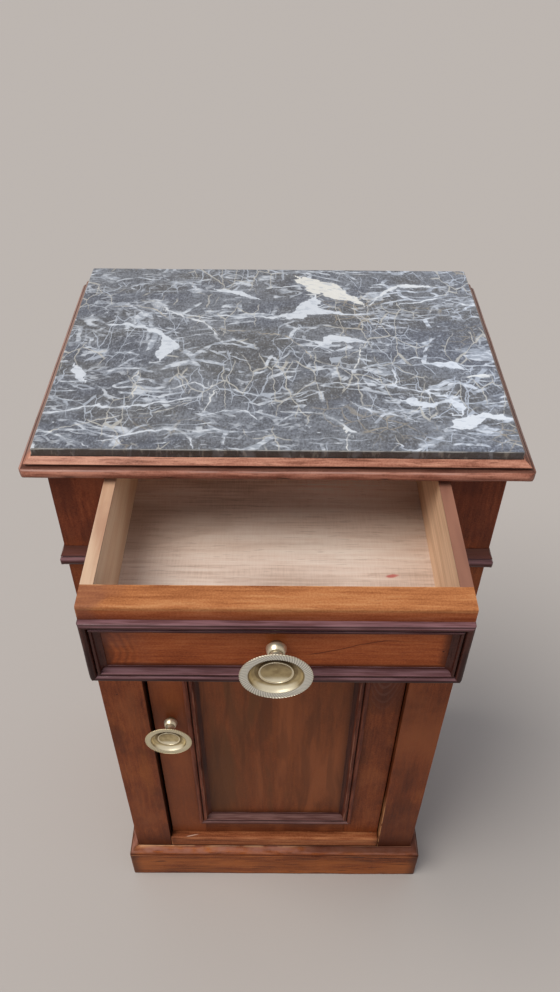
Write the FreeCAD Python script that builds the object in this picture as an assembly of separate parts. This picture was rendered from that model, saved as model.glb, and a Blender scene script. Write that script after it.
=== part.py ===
import FreeCAD, Part
import math
import os

# A veneered nightstand: marble top in a moulded frame, a drawer standing open, a framed door
# below it and a moulded plinth. All sizes are in millimetres. X runs to the right, Y to the back
# and Z up. It is built with y = 0 on the face of the front stiles and z = 0 on the floor.

Vector = FreeCAD.Vector

# Overall
total_height = 797.7
body_width = 384.0
body_depth = 280.0
drawer_pull = 145.0

# Marble slab and the moulded frame that holds it
marble_thickness = 15.0
marble_overhang = 6.3
marble_back_overhang = 15.2
marble_play = 0.3
marble_edge_radius = 1.2
frame_projection = 18.2
frame_lip = 8.3
frame_band_drop = 4.3
frame_quirk_width = 2.7
frame_quirk_depth = 1.5
frame_corner_radius = 8.0
frame_back_overhang = 5.0
top_board_thickness = 8.7

# Carcase boards
side_thickness = 16.0
stile_width = 47.5
stile_thickness = 22.0
back_thickness = 8.0
back_rebate = 8.0
floor_thickness = 12.0
dust_board_thickness = 6.0
drawer_rail_height = 37.2
bottom_rail_height = 24.0
bottom_rail_lap = 6.0
bottom_rail_nosing = 2.0
tenon_length = 20.0
tenon_thickness = 8.0
tenon_shoulder = 6.0
glue_block_leg = 28.0
glue_block_length = 60.0
glue_block_end_distance = 20.0

# Waist moulding
waist_margin = 8.2
waist_height = 23.0
waist_projection = 6.0
waist_bead_height = 12.0
waist_root = 1.4
waist_fillet_projection = 4.0
waist_fillet_height = 1.4
waist_edge = 0.8

# Plinth
plinth_height = 68.0
plinth_projection = 12.0
plinth_ovolo_height = 8.2
plinth_fillet = 1.4

# Drawer
drawer_side_gap = 3.0
drawer_height = 82.0
drawer_top_gap = 4.0
drawer_front_thickness = 20.8
drawer_side_thickness = 9.7
drawer_back_thickness = 9.0
drawer_back_drop = 4.0
drawer_bottom_thickness = 6.0
drawer_bottom_raise = 5.0
drawer_groove_depth = 4.5
drawer_edge_radius = 2.2
drawer_corner_radius = 7.0
drawer_band_height = 13.0
dovetail_count = 3
dovetail_share = 0.62
dovetail_lap = 6.0
dovetail_angle = 8.0

# What carries and guides the drawer
running_clearance = 0.3
runner_thickness = 10.0
runner_bearing = 14.0
guide_width = 12.0
guide_height = 16.0
guide_clearance = 0.5
stop_length = 16.5
stop_height = 16.0
stop_play = 0.5

# Door
door_thickness = 20.0
door_gap = 1.0
door_left_gap = 3.0
door_stile_width = 47.0
door_rail_width = 34.0
door_foot_rail_width = 42.5
door_tenon_length = 20.0
door_tenon_thickness = 8.0
door_tenon_shoulder = 14.0
door_panel_thickness = 8.0
door_panel_recess = 3.0
door_groove_depth = 8.0
door_stop_length = 120.0
door_stop_width = 10.0
door_stop_lap = 12.0

# Mouldings on the drawer front and the door
drawer_moulding_width = 14.5
drawer_moulding_fillet = 2.2
door_moulding_width = 17.5
door_moulding_fillet = 4.0
door_moulding_lap = 8.0
moulding_projection = 6.5
moulding_bead_width = 6.0
moulding_quirk = 1.2
moulding_fillet_height = 5.2
moulding_cove_height = 2.4
moulding_edge = 0.8

# Pivot hinges, let into the edges of the door
hinge_inset = 9.0
hinge_setback = 4.5
hinge_pin_diameter = 5.0
hinge_pin_bury = 5.0
hinge_collar_diameter = 9.0
hinge_collar_play = 0.05
hinge_plate_length = 36.0
hinge_plate_width = 12.0
hinge_plate_thickness = 2.0
hinge_plate_end = 5.0
hinge_plate_margin = 1.0
hinge_clearance = 0.05
swing_clearance = 0.4

# Screws and nails
screw_length = 10.0
screw_diameter = 3.0
screw_head_diameter = 6.0
screw_head_height = 1.6
screw_pitch = 12.0
nail_length = 20.0
nail_diameter = 1.8
nail_head_diameter = 3.6
nail_head_height = 1.0
back_nail_count = 6
back_nail_end = 30.0
drawer_nail_count = 3
fastener_clearance = 0.05

# Brass knobs
knob_diameter = 53.0
knob_reach = 29.4
knob_rim_width = 6.6
knob_rim_thickness = 1.4
knob_dish_depth = 5.4
knob_ring_diameter = 25.4
knob_ring_width = 0.8
knob_ring_height = 1.8
knob_middle_sink = 2.6
knob_ball_diameter = 16.0
knob_ball_height = 10.2
knob_foot_diameter = 12.0
knob_neck_diameter = 10.0
knob_neck_height = 2.0
knob_bowl_depth = 6.0
drawer_knob_raise = 0.175
door_knob_inset = 20.5
door_knob_raise = 287.0
stud_diameter = 5.0
stud_bury = 9.0
stud_end = 2.0
nut_width = 9.0
nut_thickness = 4.0
washer_diameter = 14.0
washer_thickness = 1.2

# Turn latch behind the door
spindle_diameter = 6.0
spindle_head_diameter = 9.0
spindle_head_height = 1.5
tongue_length = 38.0
tongue_width = 12.0
tongue_thickness = 3.0
latch_clearance = 0.3
keeper_width = 16.0
keeper_height = 40.0
keeper_thickness = 6.0

# Places worked out from the sizes above
half = body_width / 2
side_inner = half - side_thickness
opening = half - stile_width
back_face = body_depth - back_thickness
marble_seat = total_height - marble_thickness
board_under = marble_seat - top_board_thickness
drawer_top = board_under - drawer_top_gap
drawer_base = drawer_top - drawer_height
runner_top = drawer_base - running_clearance
runner_base = runner_top - runner_thickness
dust_base = runner_base - dust_board_thickness
rail_base = runner_top - drawer_rail_height
bottom_rail_top = plinth_height + bottom_rail_height
floor_base = bottom_rail_top - floor_thickness
waist_top = runner_top - waist_margin
waist_base = waist_top - waist_height

drawer_half = opening - drawer_side_gap
drawer_length = back_face - stop_length - stop_play
drawer_face = -drawer_pull
drawer_inside_front = drawer_face + drawer_front_thickness
drawer_end = drawer_face + drawer_length
field_base = drawer_base + drawer_moulding_width
field_top = drawer_top - drawer_band_height - drawer_moulding_width
drawer_knob_z = (field_base + field_top) / 2 + drawer_knob_raise * (field_top - field_base)

door_face = stile_thickness + keeper_thickness - door_thickness
door_back = door_face + door_thickness
door_left = door_left_gap - opening
door_right_gap = math.hypot(hinge_inset, hinge_setback) - hinge_inset + swing_clearance
door_right = opening - door_right_gap
door_base = bottom_rail_top + door_gap
door_top = rail_base - door_gap
pivot_x = door_right - hinge_inset
pivot_y = door_face + hinge_setback
latch_x = door_left + door_knob_inset
latch_z = door_base + door_knob_raise

up = Vector(0, 0, 1)
down = Vector(0, 0, -1)
forwards = Vector(0, -1, 0)
backwards = Vector(0, 1, 0)
nodes = {}


# Shapes that more than one piece is made with

def board(x, y, z):
    """Straight board between low and high along X, Y and Z."""
    return Part.makeBox(x[1] - x[0], y[1] - y[0], z[1] - z[0], Vector(x[0], y[0], z[0]))


def outline(place, *steps):
    """Flat face whose edge goes through the steps. A plain step is a corner; a step of two
    points is an arc over the first that ends at the second. place puts a point in space."""
    edges = []
    here = steps[0]
    for step in steps[1:] + (steps[0],):
        if isinstance(step[0], tuple):
            over, there = step
            edges.append(Part.Arc(place(*here), place(*over), place(*there)).toShape())
        else:
            there = step
            if place(*here).distanceToPoint(place(*there)) > 1e-6:
                edges.append(Part.makeLine(place(*here), place(*there)))
        here = there
    return Part.Face(Part.Wire(edges))


def on_diagonal(corner, radius, away_x, away_y):
    """Middle of a rounding of this radius at a corner whose centre lies towards away_x, away_y."""
    inset = radius * (1 - math.sqrt(0.5))
    return (corner[0] + away_x * inset, corner[1] + away_y * inset)


def settled(start, end, axis):
    """Step for an arc from start that runs along one axis (0 or 1) where it reaches its end."""
    along = start[axis] - end[axis]
    across = start[1 - axis] - end[1 - axis]
    radius = (along ** 2 + across ** 2) / (2 * abs(across))
    half_turn = math.atan2(abs(along), radius - abs(across)) / 2
    over = [0.0, 0.0]
    over[axis] = end[axis] + math.copysign(radius * math.sin(half_turn), along)
    over[1 - axis] = end[1 - axis] + math.copysign(radius * (1 - math.cos(half_turn)), across)
    return (tuple(over), end)


def risen(start, end, axis):
    """Step for an arc to end that runs along one axis (0 or 1) where it leaves its start."""
    over, _ = settled(end, start, axis)
    return (over, end)


def mirrored(shape):
    """The same shape on the other side of the middle plane."""
    return shape.mirror(Vector(0, 0, 0), Vector(1, 0, 0))


def tenoned_rail(x, y, z, length, thickness, shoulder_low, shoulder_high):
    """Rail between two uprights with a tenon at each end."""
    middle = (y[0] + y[1]) / 2
    tenon = board(
        (x[0] - length, x[1] + length),
        (middle - thickness / 2, middle + thickness / 2),
        (z[0] + shoulder_low, z[1] - shoulder_high),
    )
    return board(x, y, z).fuse(tenon)


def wrapped(section, projection, z, back, corner_radius):
    """Front, left and right strips of one section round the carcase, mitred at the front corners.
    The section is given as distance out from the carcase and height."""
    reach = 2 * projection
    inside = projection
    rise = Vector(0, 0, z[1] - z[0])

    def flat(x, y):
        return Vector(x, y, z[0])

    def in_front(d, height):
        return Vector(-half - reach, -d, height)

    def at_right(d, height):
        return Vector(half + d, -reach, height)

    front = outline(in_front, *section).extrude(Vector(2 * (half + reach), 0, 0))
    front_plan = outline(
        flat,
        (inside - half, inside),
        (half - inside, inside),
        (half + reach, -reach),
        (-half - reach, -reach),
    )
    right = outline(at_right, *section).extrude(Vector(0, back + reach, 0))
    right_plan = outline(
        flat,
        (half - inside, inside),
        (half - inside, back),
        (half + reach, back),
        (half + reach, -reach),
    )
    edge = half + projection
    corner = (edge, -projection)
    other = (-edge, -projection)
    rounded = outline(
        flat,
        (edge, back),
        (edge, corner_radius - projection),
        (on_diagonal(corner, corner_radius, -1, 1), (edge - corner_radius, -projection)),
        (corner_radius - edge, -projection),
        (on_diagonal(other, corner_radius, 1, 1), (-edge, corner_radius - projection)),
        (-edge, back),
    ).extrude(rise)
    front = front.common(front_plan.extrude(rise)).common(rounded)
    right = right.common(right_plan.extrude(rise)).common(rounded)
    return front, mirrored(right), right


def panel_moulding_section(width, fillet, lap, sink):
    """Section of a panel moulding: round bead outside, quirk, fillet and a hollow that falls
    inwards. Given as distance in from the outer edge and height above the face it is planted on.
    Past the lap it reaches down by the sink, to a panel that lies lower."""
    bead_radius = moulding_bead_width / 2
    shoulder = moulding_projection - bead_radius
    fillet_in = moulding_bead_width + moulding_quirk
    fillet_end = fillet_in + fillet
    hollow_start = (fillet_end, moulding_cove_height)
    hollow_end = (width - moulding_edge, moulding_edge - sink)
    steps = [
        (0.0, 0.0),
        (0.0, shoulder),
        ((bead_radius, moulding_projection), (moulding_bead_width, shoulder)),
        (fillet_in, shoulder),
        (fillet_in, moulding_fillet_height),
        (fillet_end, moulding_fillet_height),
        hollow_start,
        settled(hollow_start, hollow_end, 0),
        (width, moulding_edge - sink),
        (width, -sink),
    ]
    if sink > 0:
        steps += [(lap, -sink), (lap, 0.0)]
    return steps


def panel_moulding(section, width, x, z, face):
    """Top, bottom, left and right members of a moulding round a panel, mitred at the corners."""
    spare = width / 4
    reach = width + spare
    left, right = x[0] - spare, x[1] + spare
    low, high = z[0] - spare, z[1] + spare
    inner_left, inner_right = x[0] + reach, x[1] - reach
    inner_low, inner_high = z[0] + reach, z[1] - reach
    runs = {
        "top": lambda s, p: Vector(left, face - p, z[1] - s),
        "bottom": lambda s, p: Vector(left, face - p, z[0] + s),
        "left": lambda s, p: Vector(x[0] + s, face - p, low),
        "right": lambda s, p: Vector(x[1] - s, face - p, low),
    }
    along = {
        "top": Vector(right - left, 0, 0),
        "bottom": Vector(right - left, 0, 0),
        "left": Vector(0, 0, high - low),
        "right": Vector(0, 0, high - low),
    }
    mitres = {
        "top": ((left, high), (right, high), (inner_right, inner_high), (inner_left, inner_high)),
        "bottom": ((left, low), (right, low), (inner_right, inner_low), (inner_left, inner_low)),
        "left": ((left, low), (left, high), (inner_left, inner_high), (inner_left, inner_low)),
        "right": ((right, low), (right, high), (inner_right, inner_high), (inner_right, inner_low)),
    }
    members = {}
    for place, run in runs.items():
        strip = outline(run, *section).extrude(along[place])
        mitre = outline(lambda px, pz: Vector(px, face - 2 * width, pz), *mitres[place])
        members[place] = strip.common(mitre.extrude(Vector(0, 4 * width, 0)))
    return members


def pegged(head, direction, head_radii, head_height, shank_radius, length, clearance):
    """Screw or nail: a head whose outside is at the point head, and a shank along direction."""
    top_radius, low_radius = head_radii
    top = Part.makeCylinder(top_radius + clearance, head_height, head, direction)
    if top_radius != low_radius:
        top = Part.makeCone(top_radius + clearance, low_radius + clearance, head_height, head, direction)
    shank = Part.makeCylinder(shank_radius + clearance, length + clearance, head, direction)
    return top.fuse(shank)


def screw(head, direction, clearance=0.0):
    """Countersunk screw."""
    radii = (screw_head_diameter / 2, screw_diameter / 2)
    return pegged(head, direction, radii, screw_head_height, radii[1], screw_length, clearance)


def nail(head, direction, clearance=0.0):
    """Flat-headed nail."""
    radii = (nail_head_diameter / 2, nail_head_diameter / 2)
    return pegged(head, direction, radii, nail_head_height, nail_diameter / 2, nail_length, clearance)


def knob(x, z, face, gap, bore_radius):
    """Turned brass knob: ball foot, neck and a dished plate with a flat rim, a hollow channel, a
    thin ring and a sunk middle. It is bored from behind for its stud or spindle."""
    radius = knob_diameter / 2
    rim_round = knob_rim_thickness / 2
    rim_plane = knob_reach - rim_round
    rim_inner = radius - knob_rim_width
    ring = knob_ring_diameter / 2
    ball = knob_ball_diameter / 2
    foot = knob_foot_diameter / 2
    neck = knob_neck_diameter / 2
    neck_top = (neck, knob_ball_height + knob_neck_height)
    bowl = (ring, rim_plane - knob_bowl_depth)
    dish_floor = knob_reach - knob_dish_depth
    ring_top = dish_floor + knob_ring_height
    middle_edge = (ring - knob_ring_width, ring_top - knob_ring_width)
    middle = (0.0, middle_edge[1] - knob_middle_sink)
    profile = outline(
        lambda r, t: Vector(x + r, face - t, z),
        (0.0, gap),
        (foot, gap),
        ((ball, knob_ball_height / 2), (neck, knob_ball_height)),
        neck_top,
        risen(neck_top, bowl, 1),
        (radius - rim_round, rim_plane - rim_round),
        ((radius, rim_plane), (radius - rim_round, knob_reach)),
        (rim_inner, knob_reach),
        settled((rim_inner, knob_reach), (ring, dish_floor), 0),
        (ring, ring_top),
        (ring - knob_ring_width, ring_top),
        middle_edge,
        settled(middle_edge, middle, 0),
    )
    axis_point = Vector(x, face, z)
    turned = profile.revolve(axis_point, forwards, 360)
    bore = Part.makeCylinder(bore_radius, stud_bury, axis_point, forwards)
    return turned.cut(bore)


def tails(x, y_root, y_tip):
    """Fan-shaped tails at one end of a drawer side, narrow at the root and wide at the tip."""
    pitch = drawer_height / dovetail_count
    tip = pitch * dovetail_share / 2
    root = tip - abs(y_tip - y_root) * math.tan(math.radians(dovetail_angle))
    group = []
    for index in range(dovetail_count):
        centre = drawer_base + pitch * (index + 0.5)
        shape = outline(
            lambda y, z: Vector(x[0], y, centre + z),
            (y_root, -root),
            (y_tip, -tip),
            (y_tip, tip),
            (y_root, root),
        )
        group.append(shape.extrude(Vector(x[1] - x[0], 0, 0)))
    return Part.makeCompound(group)


# Marble slab, loose in its frame, with its upper edges eased
marble = board(
    (-half - marble_overhang, half + marble_overhang),
    (-marble_overhang, body_depth + marble_back_overhang),
    (marble_seat, total_height),
)
upper_edges = [edge for edge in marble.Edges if min(v.Z for v in edge.Vertexes) > total_height - 1e-6]
nodes["marble_top"] = marble.makeFillet(marble_edge_radius, upper_edges)

# Moulded frame: rebate for the marble, sloping band, quirk and a round bead at the foot
lip_face = marble_overhang + marble_play
bead_radius = (top_board_thickness + frame_lip - frame_band_drop - frame_quirk_width) / 2
bead_out = frame_projection - bead_radius
bead_top = board_under + 2 * bead_radius
frame_section = (
    (0.0, board_under),
    (bead_out, board_under),
    ((frame_projection, board_under + bead_radius), (bead_out, bead_top)),
    (bead_out - frame_quirk_depth, bead_top),
    (bead_out, bead_top + frame_quirk_width),
    (lip_face, marble_seat + frame_lip),
    (lip_face, marble_seat),
    (0.0, marble_seat),
)
frame_strips = wrapped(
    frame_section,
    frame_projection,
    (board_under - frame_lip, total_height),
    body_depth + frame_back_overhang,
    frame_corner_radius,
)
for place, strip in zip(("front", "left", "right"), frame_strips):
    nodes["top_frame_" + place] = strip

# Top board under the marble
nodes["top_board"] = board((-half, half), (0.0, body_depth), (board_under, marble_seat))

# Back panel in its rebates, and the nails that hold it
back_half = side_inner + back_rebate
back_panel = board((-back_half, back_half), (back_face, body_depth), (floor_base, board_under))
nail_step = (board_under - floor_base - 2 * back_nail_end) / (back_nail_count - 1)
nail_heads = [
    Vector(side * (side_inner + back_rebate / 2), body_depth, floor_base + back_nail_end + nail_step * row)
    for side in (-1, 1)
    for row in range(back_nail_count)
]
nail_holes = Part.makeCompound([nail(head, forwards, fastener_clearance) for head in nail_heads])
nodes["back_panel_nails"] = Part.makeCompound([nail(head, forwards) for head in nail_heads])
nodes["back_panel"] = back_panel.cut(nail_holes)

# Side panels, rebated for the back
side_right = board((side_inner, half), (stile_thickness, body_depth), (0.0, board_under))
side_right = side_right.cut(back_panel)
nodes["side_panel_right"] = side_right.cut(nail_holes)
nodes["side_panel_left"] = mirrored(side_right).cut(nail_holes)

# Drawer rail and bottom rail, tenoned into the stiles
hinge_plate_x = (pivot_x + hinge_plate_end - hinge_plate_length, pivot_x + hinge_plate_end)
hinge_plate_y = (door_face + hinge_plate_margin, door_face + hinge_plate_margin + hinge_plate_width)
drawer_rail = tenoned_rail(
    (-opening, opening),
    (0.0, stile_thickness),
    (rail_base, runner_top),
    tenon_length,
    tenon_thickness,
    tenon_shoulder,
    tenon_shoulder,
)
bottom_rail_base = plinth_height - bottom_rail_lap
bottom_rail = tenoned_rail(
    (-opening, opening),
    (0.0, stile_thickness),
    (bottom_rail_base, bottom_rail_top),
    tenon_length,
    tenon_thickness,
    tenon_shoulder,
    tenon_shoulder,
)
nosing_low = (0.0, plinth_height)
nosing_high = (0.0, bottom_rail_top)
nosing = outline(
    lambda d, z: Vector(-opening, -d, z),
    nosing_low,
    (bottom_rail_nosing, plinth_height),
    (bottom_rail_nosing, bottom_rail_top - bottom_rail_nosing),
    (
        on_diagonal((bottom_rail_nosing, bottom_rail_top), bottom_rail_nosing, -1, -1),
        nosing_high,
    ),
).extrude(Vector(2 * opening, 0, 0))
bottom_rail = bottom_rail.fuse(nosing)

# Front stiles, mortised for the rails
stile_right = board((opening, half), (0.0, stile_thickness), (0.0, board_under))
stile_right = stile_right.cut(drawer_rail).cut(bottom_rail)
nodes["front_stile_right"] = stile_right
nodes["front_stile_left"] = mirrored(stile_right)

# Fixed hinge plates in the rails, their screws and the bores that the pins turn in
upper_plate = board(hinge_plate_x, hinge_plate_y, (rail_base, rail_base + hinge_plate_thickness))
lower_plate = board(hinge_plate_x, hinge_plate_y, (bottom_rail_top - hinge_plate_thickness, bottom_rail_top))
pin_radius = hinge_pin_diameter / 2
pin_length = door_gap + hinge_plate_thickness + hinge_pin_bury
pin_bore_radius = pin_radius + hinge_clearance
upper_bore = Part.makeCylinder(pin_bore_radius, pin_length, Vector(pivot_x, pivot_y, rail_base), up)
lower_bore = Part.makeCylinder(pin_bore_radius, pin_length, Vector(pivot_x, pivot_y, bottom_rail_top), down)
screw_y = (hinge_plate_y[0] + hinge_plate_y[1]) / 2
screw_xs = (pivot_x - screw_pitch, pivot_x - 2 * screw_pitch)
fixed_screws = [(Vector(x, screw_y, rail_base), up) for x in screw_xs]
fixed_screws += [(Vector(x, screw_y, bottom_rail_top), down) for x in screw_xs]
fixed_holes = Part.makeCompound([screw(head, way, fastener_clearance) for head, way in fixed_screws])
nodes["hinge_screws_carcase"] = Part.makeCompound([screw(head, way) for head, way in fixed_screws])
nodes["hinge_plate_upper"] = upper_plate.cut(upper_bore).cut(fixed_holes)
nodes["hinge_plate_lower"] = lower_plate.cut(lower_bore).cut(fixed_holes)
nodes["drawer_rail"] = drawer_rail.cut(upper_plate).cut(upper_bore).cut(fixed_holes)
nodes["bottom_rail"] = bottom_rail.cut(lower_plate).cut(lower_bore).cut(fixed_holes)

# Cupboard floor and the glue blocks under it
cupboard_floor = board((-side_inner, side_inner), (stile_thickness, back_face), (floor_base, bottom_rail_top))
nodes["cupboard_floor"] = cupboard_floor.cut(lower_plate).cut(lower_bore).cut(fixed_holes)
block_starts = (
    stile_thickness + glue_block_end_distance,
    back_face - glue_block_end_distance - glue_block_length,
)
blocks = []
for start in block_starts:
    block = outline(
        lambda x, z: Vector(x, start, z),
        (side_inner, floor_base),
        (side_inner - glue_block_leg, floor_base),
        (side_inner, floor_base - glue_block_leg),
    ).extrude(Vector(0, glue_block_length, 0))
    blocks += [block, mirrored(block)]
nodes["glue_blocks"] = Part.makeCompound(blocks)

# Dust board over the cupboard, and the runners, guides and stops of the drawer
nodes["dust_board"] = board((-side_inner, side_inner), (stile_thickness, back_face), (dust_base, runner_base))
run = (stile_thickness, back_face)
bearing = drawer_half - runner_bearing
guide_inner = drawer_half + guide_clearance
runner = board((bearing, side_inner), run, (runner_base, runner_top))
guide = board((guide_inner, guide_inner + guide_width), run, (runner_top, runner_top + guide_height))
stop = board(
    (bearing, drawer_half),
    (back_face - stop_length, back_face),
    (runner_top, runner_top + stop_height),
)
nodes["drawer_runner_right"] = runner
nodes["drawer_runner_left"] = mirrored(runner)
nodes["drawer_guide_right"] = guide
nodes["drawer_guide_left"] = mirrored(guide)
nodes["drawer_stops"] = Part.makeCompound([stop, mirrored(stop)])

# Waist moulding: bead below, quirk, fillet and a hollow running up to the carcase
waist_bead_top = waist_base + waist_bead_height
waist_fillet_top = (waist_fillet_projection, waist_bead_top + waist_fillet_height)
waist_section = (
    (0.0, waist_base),
    (waist_root, waist_base),
    ((waist_projection, waist_base + waist_bead_height / 2), (waist_root, waist_bead_top)),
    (waist_fillet_projection, waist_bead_top),
    waist_fillet_top,
    settled(waist_fillet_top, (waist_edge, waist_top), 1),
    (0.0, waist_top),
)
waist_strips = wrapped(
    waist_section,
    waist_projection,
    (waist_base - waist_height, waist_top + waist_height),
    body_depth,
    waist_projection / 2,
)
for place, strip in zip(("front", "left", "right"), waist_strips):
    nodes["waist_moulding_" + place] = strip

# Plinth boards, planted round the foot, with a quarter round and a fillet on top
ovolo_top = plinth_height - plinth_fillet
ovolo_base = ovolo_top - plinth_ovolo_height
ovolo_start = (plinth_projection - plinth_fillet, ovolo_base)
ovolo_end = (plinth_fillet, ovolo_top)
plinth_section = (
    (0.0, 0.0),
    (plinth_projection, 0.0),
    (plinth_projection, ovolo_base),
    ovolo_start,
    risen(ovolo_start, ovolo_end, 1),
    (plinth_fillet, plinth_height),
    (0.0, plinth_height),
)
plinth_strips = wrapped(
    plinth_section,
    plinth_projection,
    (0.0, plinth_height),
    body_depth,
    plinth_fillet,
)
for place, strip in zip(("front", "left", "right"), plinth_strips):
    nodes["plinth_" + place] = strip.cut(nosing)

# Drawer box: front, dovetailed sides, back and bottom
bottom_base = drawer_base + drawer_bottom_raise
bottom_top = bottom_base + drawer_bottom_thickness
bottom_half = drawer_half - drawer_side_thickness + drawer_groove_depth
drawer_bottom = board(
    (-bottom_half, bottom_half),
    (drawer_inside_front - drawer_groove_depth, drawer_end),
    (bottom_base, bottom_top),
)
side_x = (drawer_half - drawer_side_thickness, drawer_half)
side_end = drawer_end - drawer_back_thickness
front_tails = tails(side_x, drawer_inside_front, drawer_face + dovetail_lap)
back_tails = tails(side_x, side_end, drawer_end)
drawer_side = board(side_x, (drawer_inside_front, side_end), (drawer_base, drawer_top))
drawer_side = drawer_side.fuse([front_tails, back_tails]).cut(drawer_bottom)
nodes["drawer_side_right"] = drawer_side
nodes["drawer_side_left"] = mirrored(drawer_side)

drawer_shape = outline(
    lambda x, z: Vector(x, drawer_face, z),
    (drawer_half, drawer_top),
    (-drawer_half, drawer_top),
    (-drawer_half, drawer_base + drawer_corner_radius),
    (
        on_diagonal((-drawer_half, drawer_base), drawer_corner_radius, 1, 1),
        (drawer_corner_radius - drawer_half, drawer_base),
    ),
    (drawer_half - drawer_corner_radius, drawer_base),
    (
        on_diagonal((drawer_half, drawer_base), drawer_corner_radius, -1, 1),
        (drawer_half, drawer_base + drawer_corner_radius),
    ),
)
drawer_front = drawer_shape.extrude(Vector(0, drawer_front_thickness, 0))
rounded_edges = [
    edge
    for edge in drawer_front.Edges
    if all(abs(v.Z - drawer_top) < 1e-6 and abs(v.Y - drawer_face) < 1e-6 for v in edge.Vertexes)
]
drawer_front = drawer_front.makeFillet(drawer_edge_radius, rounded_edges)
stud_axis = Vector(0, drawer_face, drawer_knob_z)
stud_bore_radius = stud_diameter / 2 + fastener_clearance
stud_bore = Part.makeCylinder(stud_bore_radius, drawer_front_thickness, stud_axis, backwards)
drawer_front = drawer_front.cut([front_tails, mirrored(front_tails), drawer_bottom, stud_bore])
nodes["drawer_front"] = drawer_front

drawer_back = board(
    (-drawer_half, drawer_half),
    (side_end, drawer_end),
    (bottom_top, drawer_top - drawer_back_drop),
)
drawer_nail_step = 2 * drawer_half / drawer_nail_count
drawer_nail_y = drawer_end - drawer_back_thickness / 2
drawer_nail_heads = [
    Vector(drawer_nail_step * (index + 0.5) - drawer_half, drawer_nail_y, bottom_base)
    for index in range(drawer_nail_count)
]
drawer_nail_holes = Part.makeCompound([nail(head, up, fastener_clearance) for head in drawer_nail_heads])
nodes["drawer_bottom_nails"] = Part.makeCompound([nail(head, up) for head in drawer_nail_heads])
nodes["drawer_bottom"] = drawer_bottom.cut(drawer_nail_holes)
nodes["drawer_back"] = drawer_back.cut([back_tails, mirrored(back_tails), drawer_nail_holes])

# Moulding planted on the drawer front, with the two lower corners rounded as the front is
drawer_section = panel_moulding_section(drawer_moulding_width, drawer_moulding_fillet, 0.0, 0.0)
drawer_members = panel_moulding(
    drawer_section,
    drawer_moulding_width,
    (-drawer_half, drawer_half),
    (drawer_base, drawer_top - drawer_band_height),
    drawer_face,
)
rounding = drawer_shape.extrude(Vector(0, -2 * moulding_projection, 0))
for place, member in drawer_members.items():
    nodes["drawer_moulding_" + place] = member.common(rounding)

# Drawer knob with its stud, washer and nut
nodes["drawer_knob"] = knob(0.0, drawer_knob_z, drawer_face, 0.0, stud_bore_radius)
nut_face = drawer_inside_front + washer_thickness
stud_length = stud_bury + drawer_front_thickness + washer_thickness + nut_thickness + stud_end
stud_start = stud_axis - Vector(0, stud_bury, 0)
nodes["drawer_knob_stud"] = Part.makeCylinder(stud_diameter / 2, stud_length, stud_start, backwards)
washer_seat = Vector(0, drawer_inside_front, drawer_knob_z)
washer = Part.makeCylinder(washer_diameter / 2, washer_thickness, washer_seat, backwards)
nut_corner = nut_width / math.sqrt(3)
hexagon = [
    (nut_corner * math.cos(math.radians(60 * index)), nut_corner * math.sin(math.radians(60 * index)))
    for index in range(6)
]
nut = outline(lambda x, z: Vector(x, nut_face, drawer_knob_z + z), *hexagon)
nut = nut.extrude(Vector(0, nut_thickness, 0))
stud_hole = Part.makeCylinder(stud_bore_radius, stud_length, stud_start, backwards)
nodes["drawer_knob_nut"] = Part.makeCompound([washer.cut(stud_hole), nut.cut(stud_hole)])

# Door frame, its panel and the moulding planted over the joint
frame_left = door_left + door_stile_width
frame_right = door_right - door_stile_width
frame_low = door_base + door_foot_rail_width
frame_high = door_top - door_rail_width
door_y = (door_face, door_back)
panel_y = (door_face + door_panel_recess, door_face + door_panel_recess + door_panel_thickness)
door_panel = board(
    (frame_left - door_groove_depth, frame_right + door_groove_depth),
    panel_y,
    (frame_low - door_groove_depth, frame_high + door_groove_depth),
)
nodes["door_panel"] = door_panel
rail_top = tenoned_rail(
    (frame_left, frame_right),
    door_y,
    (frame_high, door_top),
    door_tenon_length,
    door_tenon_thickness,
    door_groove_depth,
    door_tenon_shoulder,
)
rail_bottom = tenoned_rail(
    (frame_left, frame_right),
    door_y,
    (door_base, frame_low),
    door_tenon_length,
    door_tenon_thickness,
    door_tenon_shoulder,
    door_groove_depth,
)
door_stile_left = board((door_left, frame_left), door_y, (door_base, door_top))
door_stile_right = board((frame_right, door_right), door_y, (door_base, door_top))
door_cuts = [rail_top, rail_bottom, door_panel]
spindle_radius = spindle_diameter / 2
latch_axis = Vector(latch_x, door_face, latch_z)
spindle_bore = Part.makeCylinder(spindle_radius + hinge_clearance, door_thickness, latch_axis, backwards)
nodes["door_rail_top"] = rail_top.cut(door_panel)
nodes["door_rail_bottom"] = rail_bottom.cut(door_panel)
nodes["door_stile_left"] = door_stile_left.cut(door_cuts + [spindle_bore])

door_section = panel_moulding_section(door_moulding_width, door_moulding_fillet, door_moulding_lap, door_panel_recess)
door_members = panel_moulding(
    door_section,
    door_moulding_width,
    (frame_left - door_moulding_lap, frame_right + door_moulding_lap),
    (frame_low - door_moulding_lap, frame_high + door_moulding_lap),
    door_face,
)
for place, member in door_members.items():
    nodes["door_moulding_" + place] = member

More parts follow.
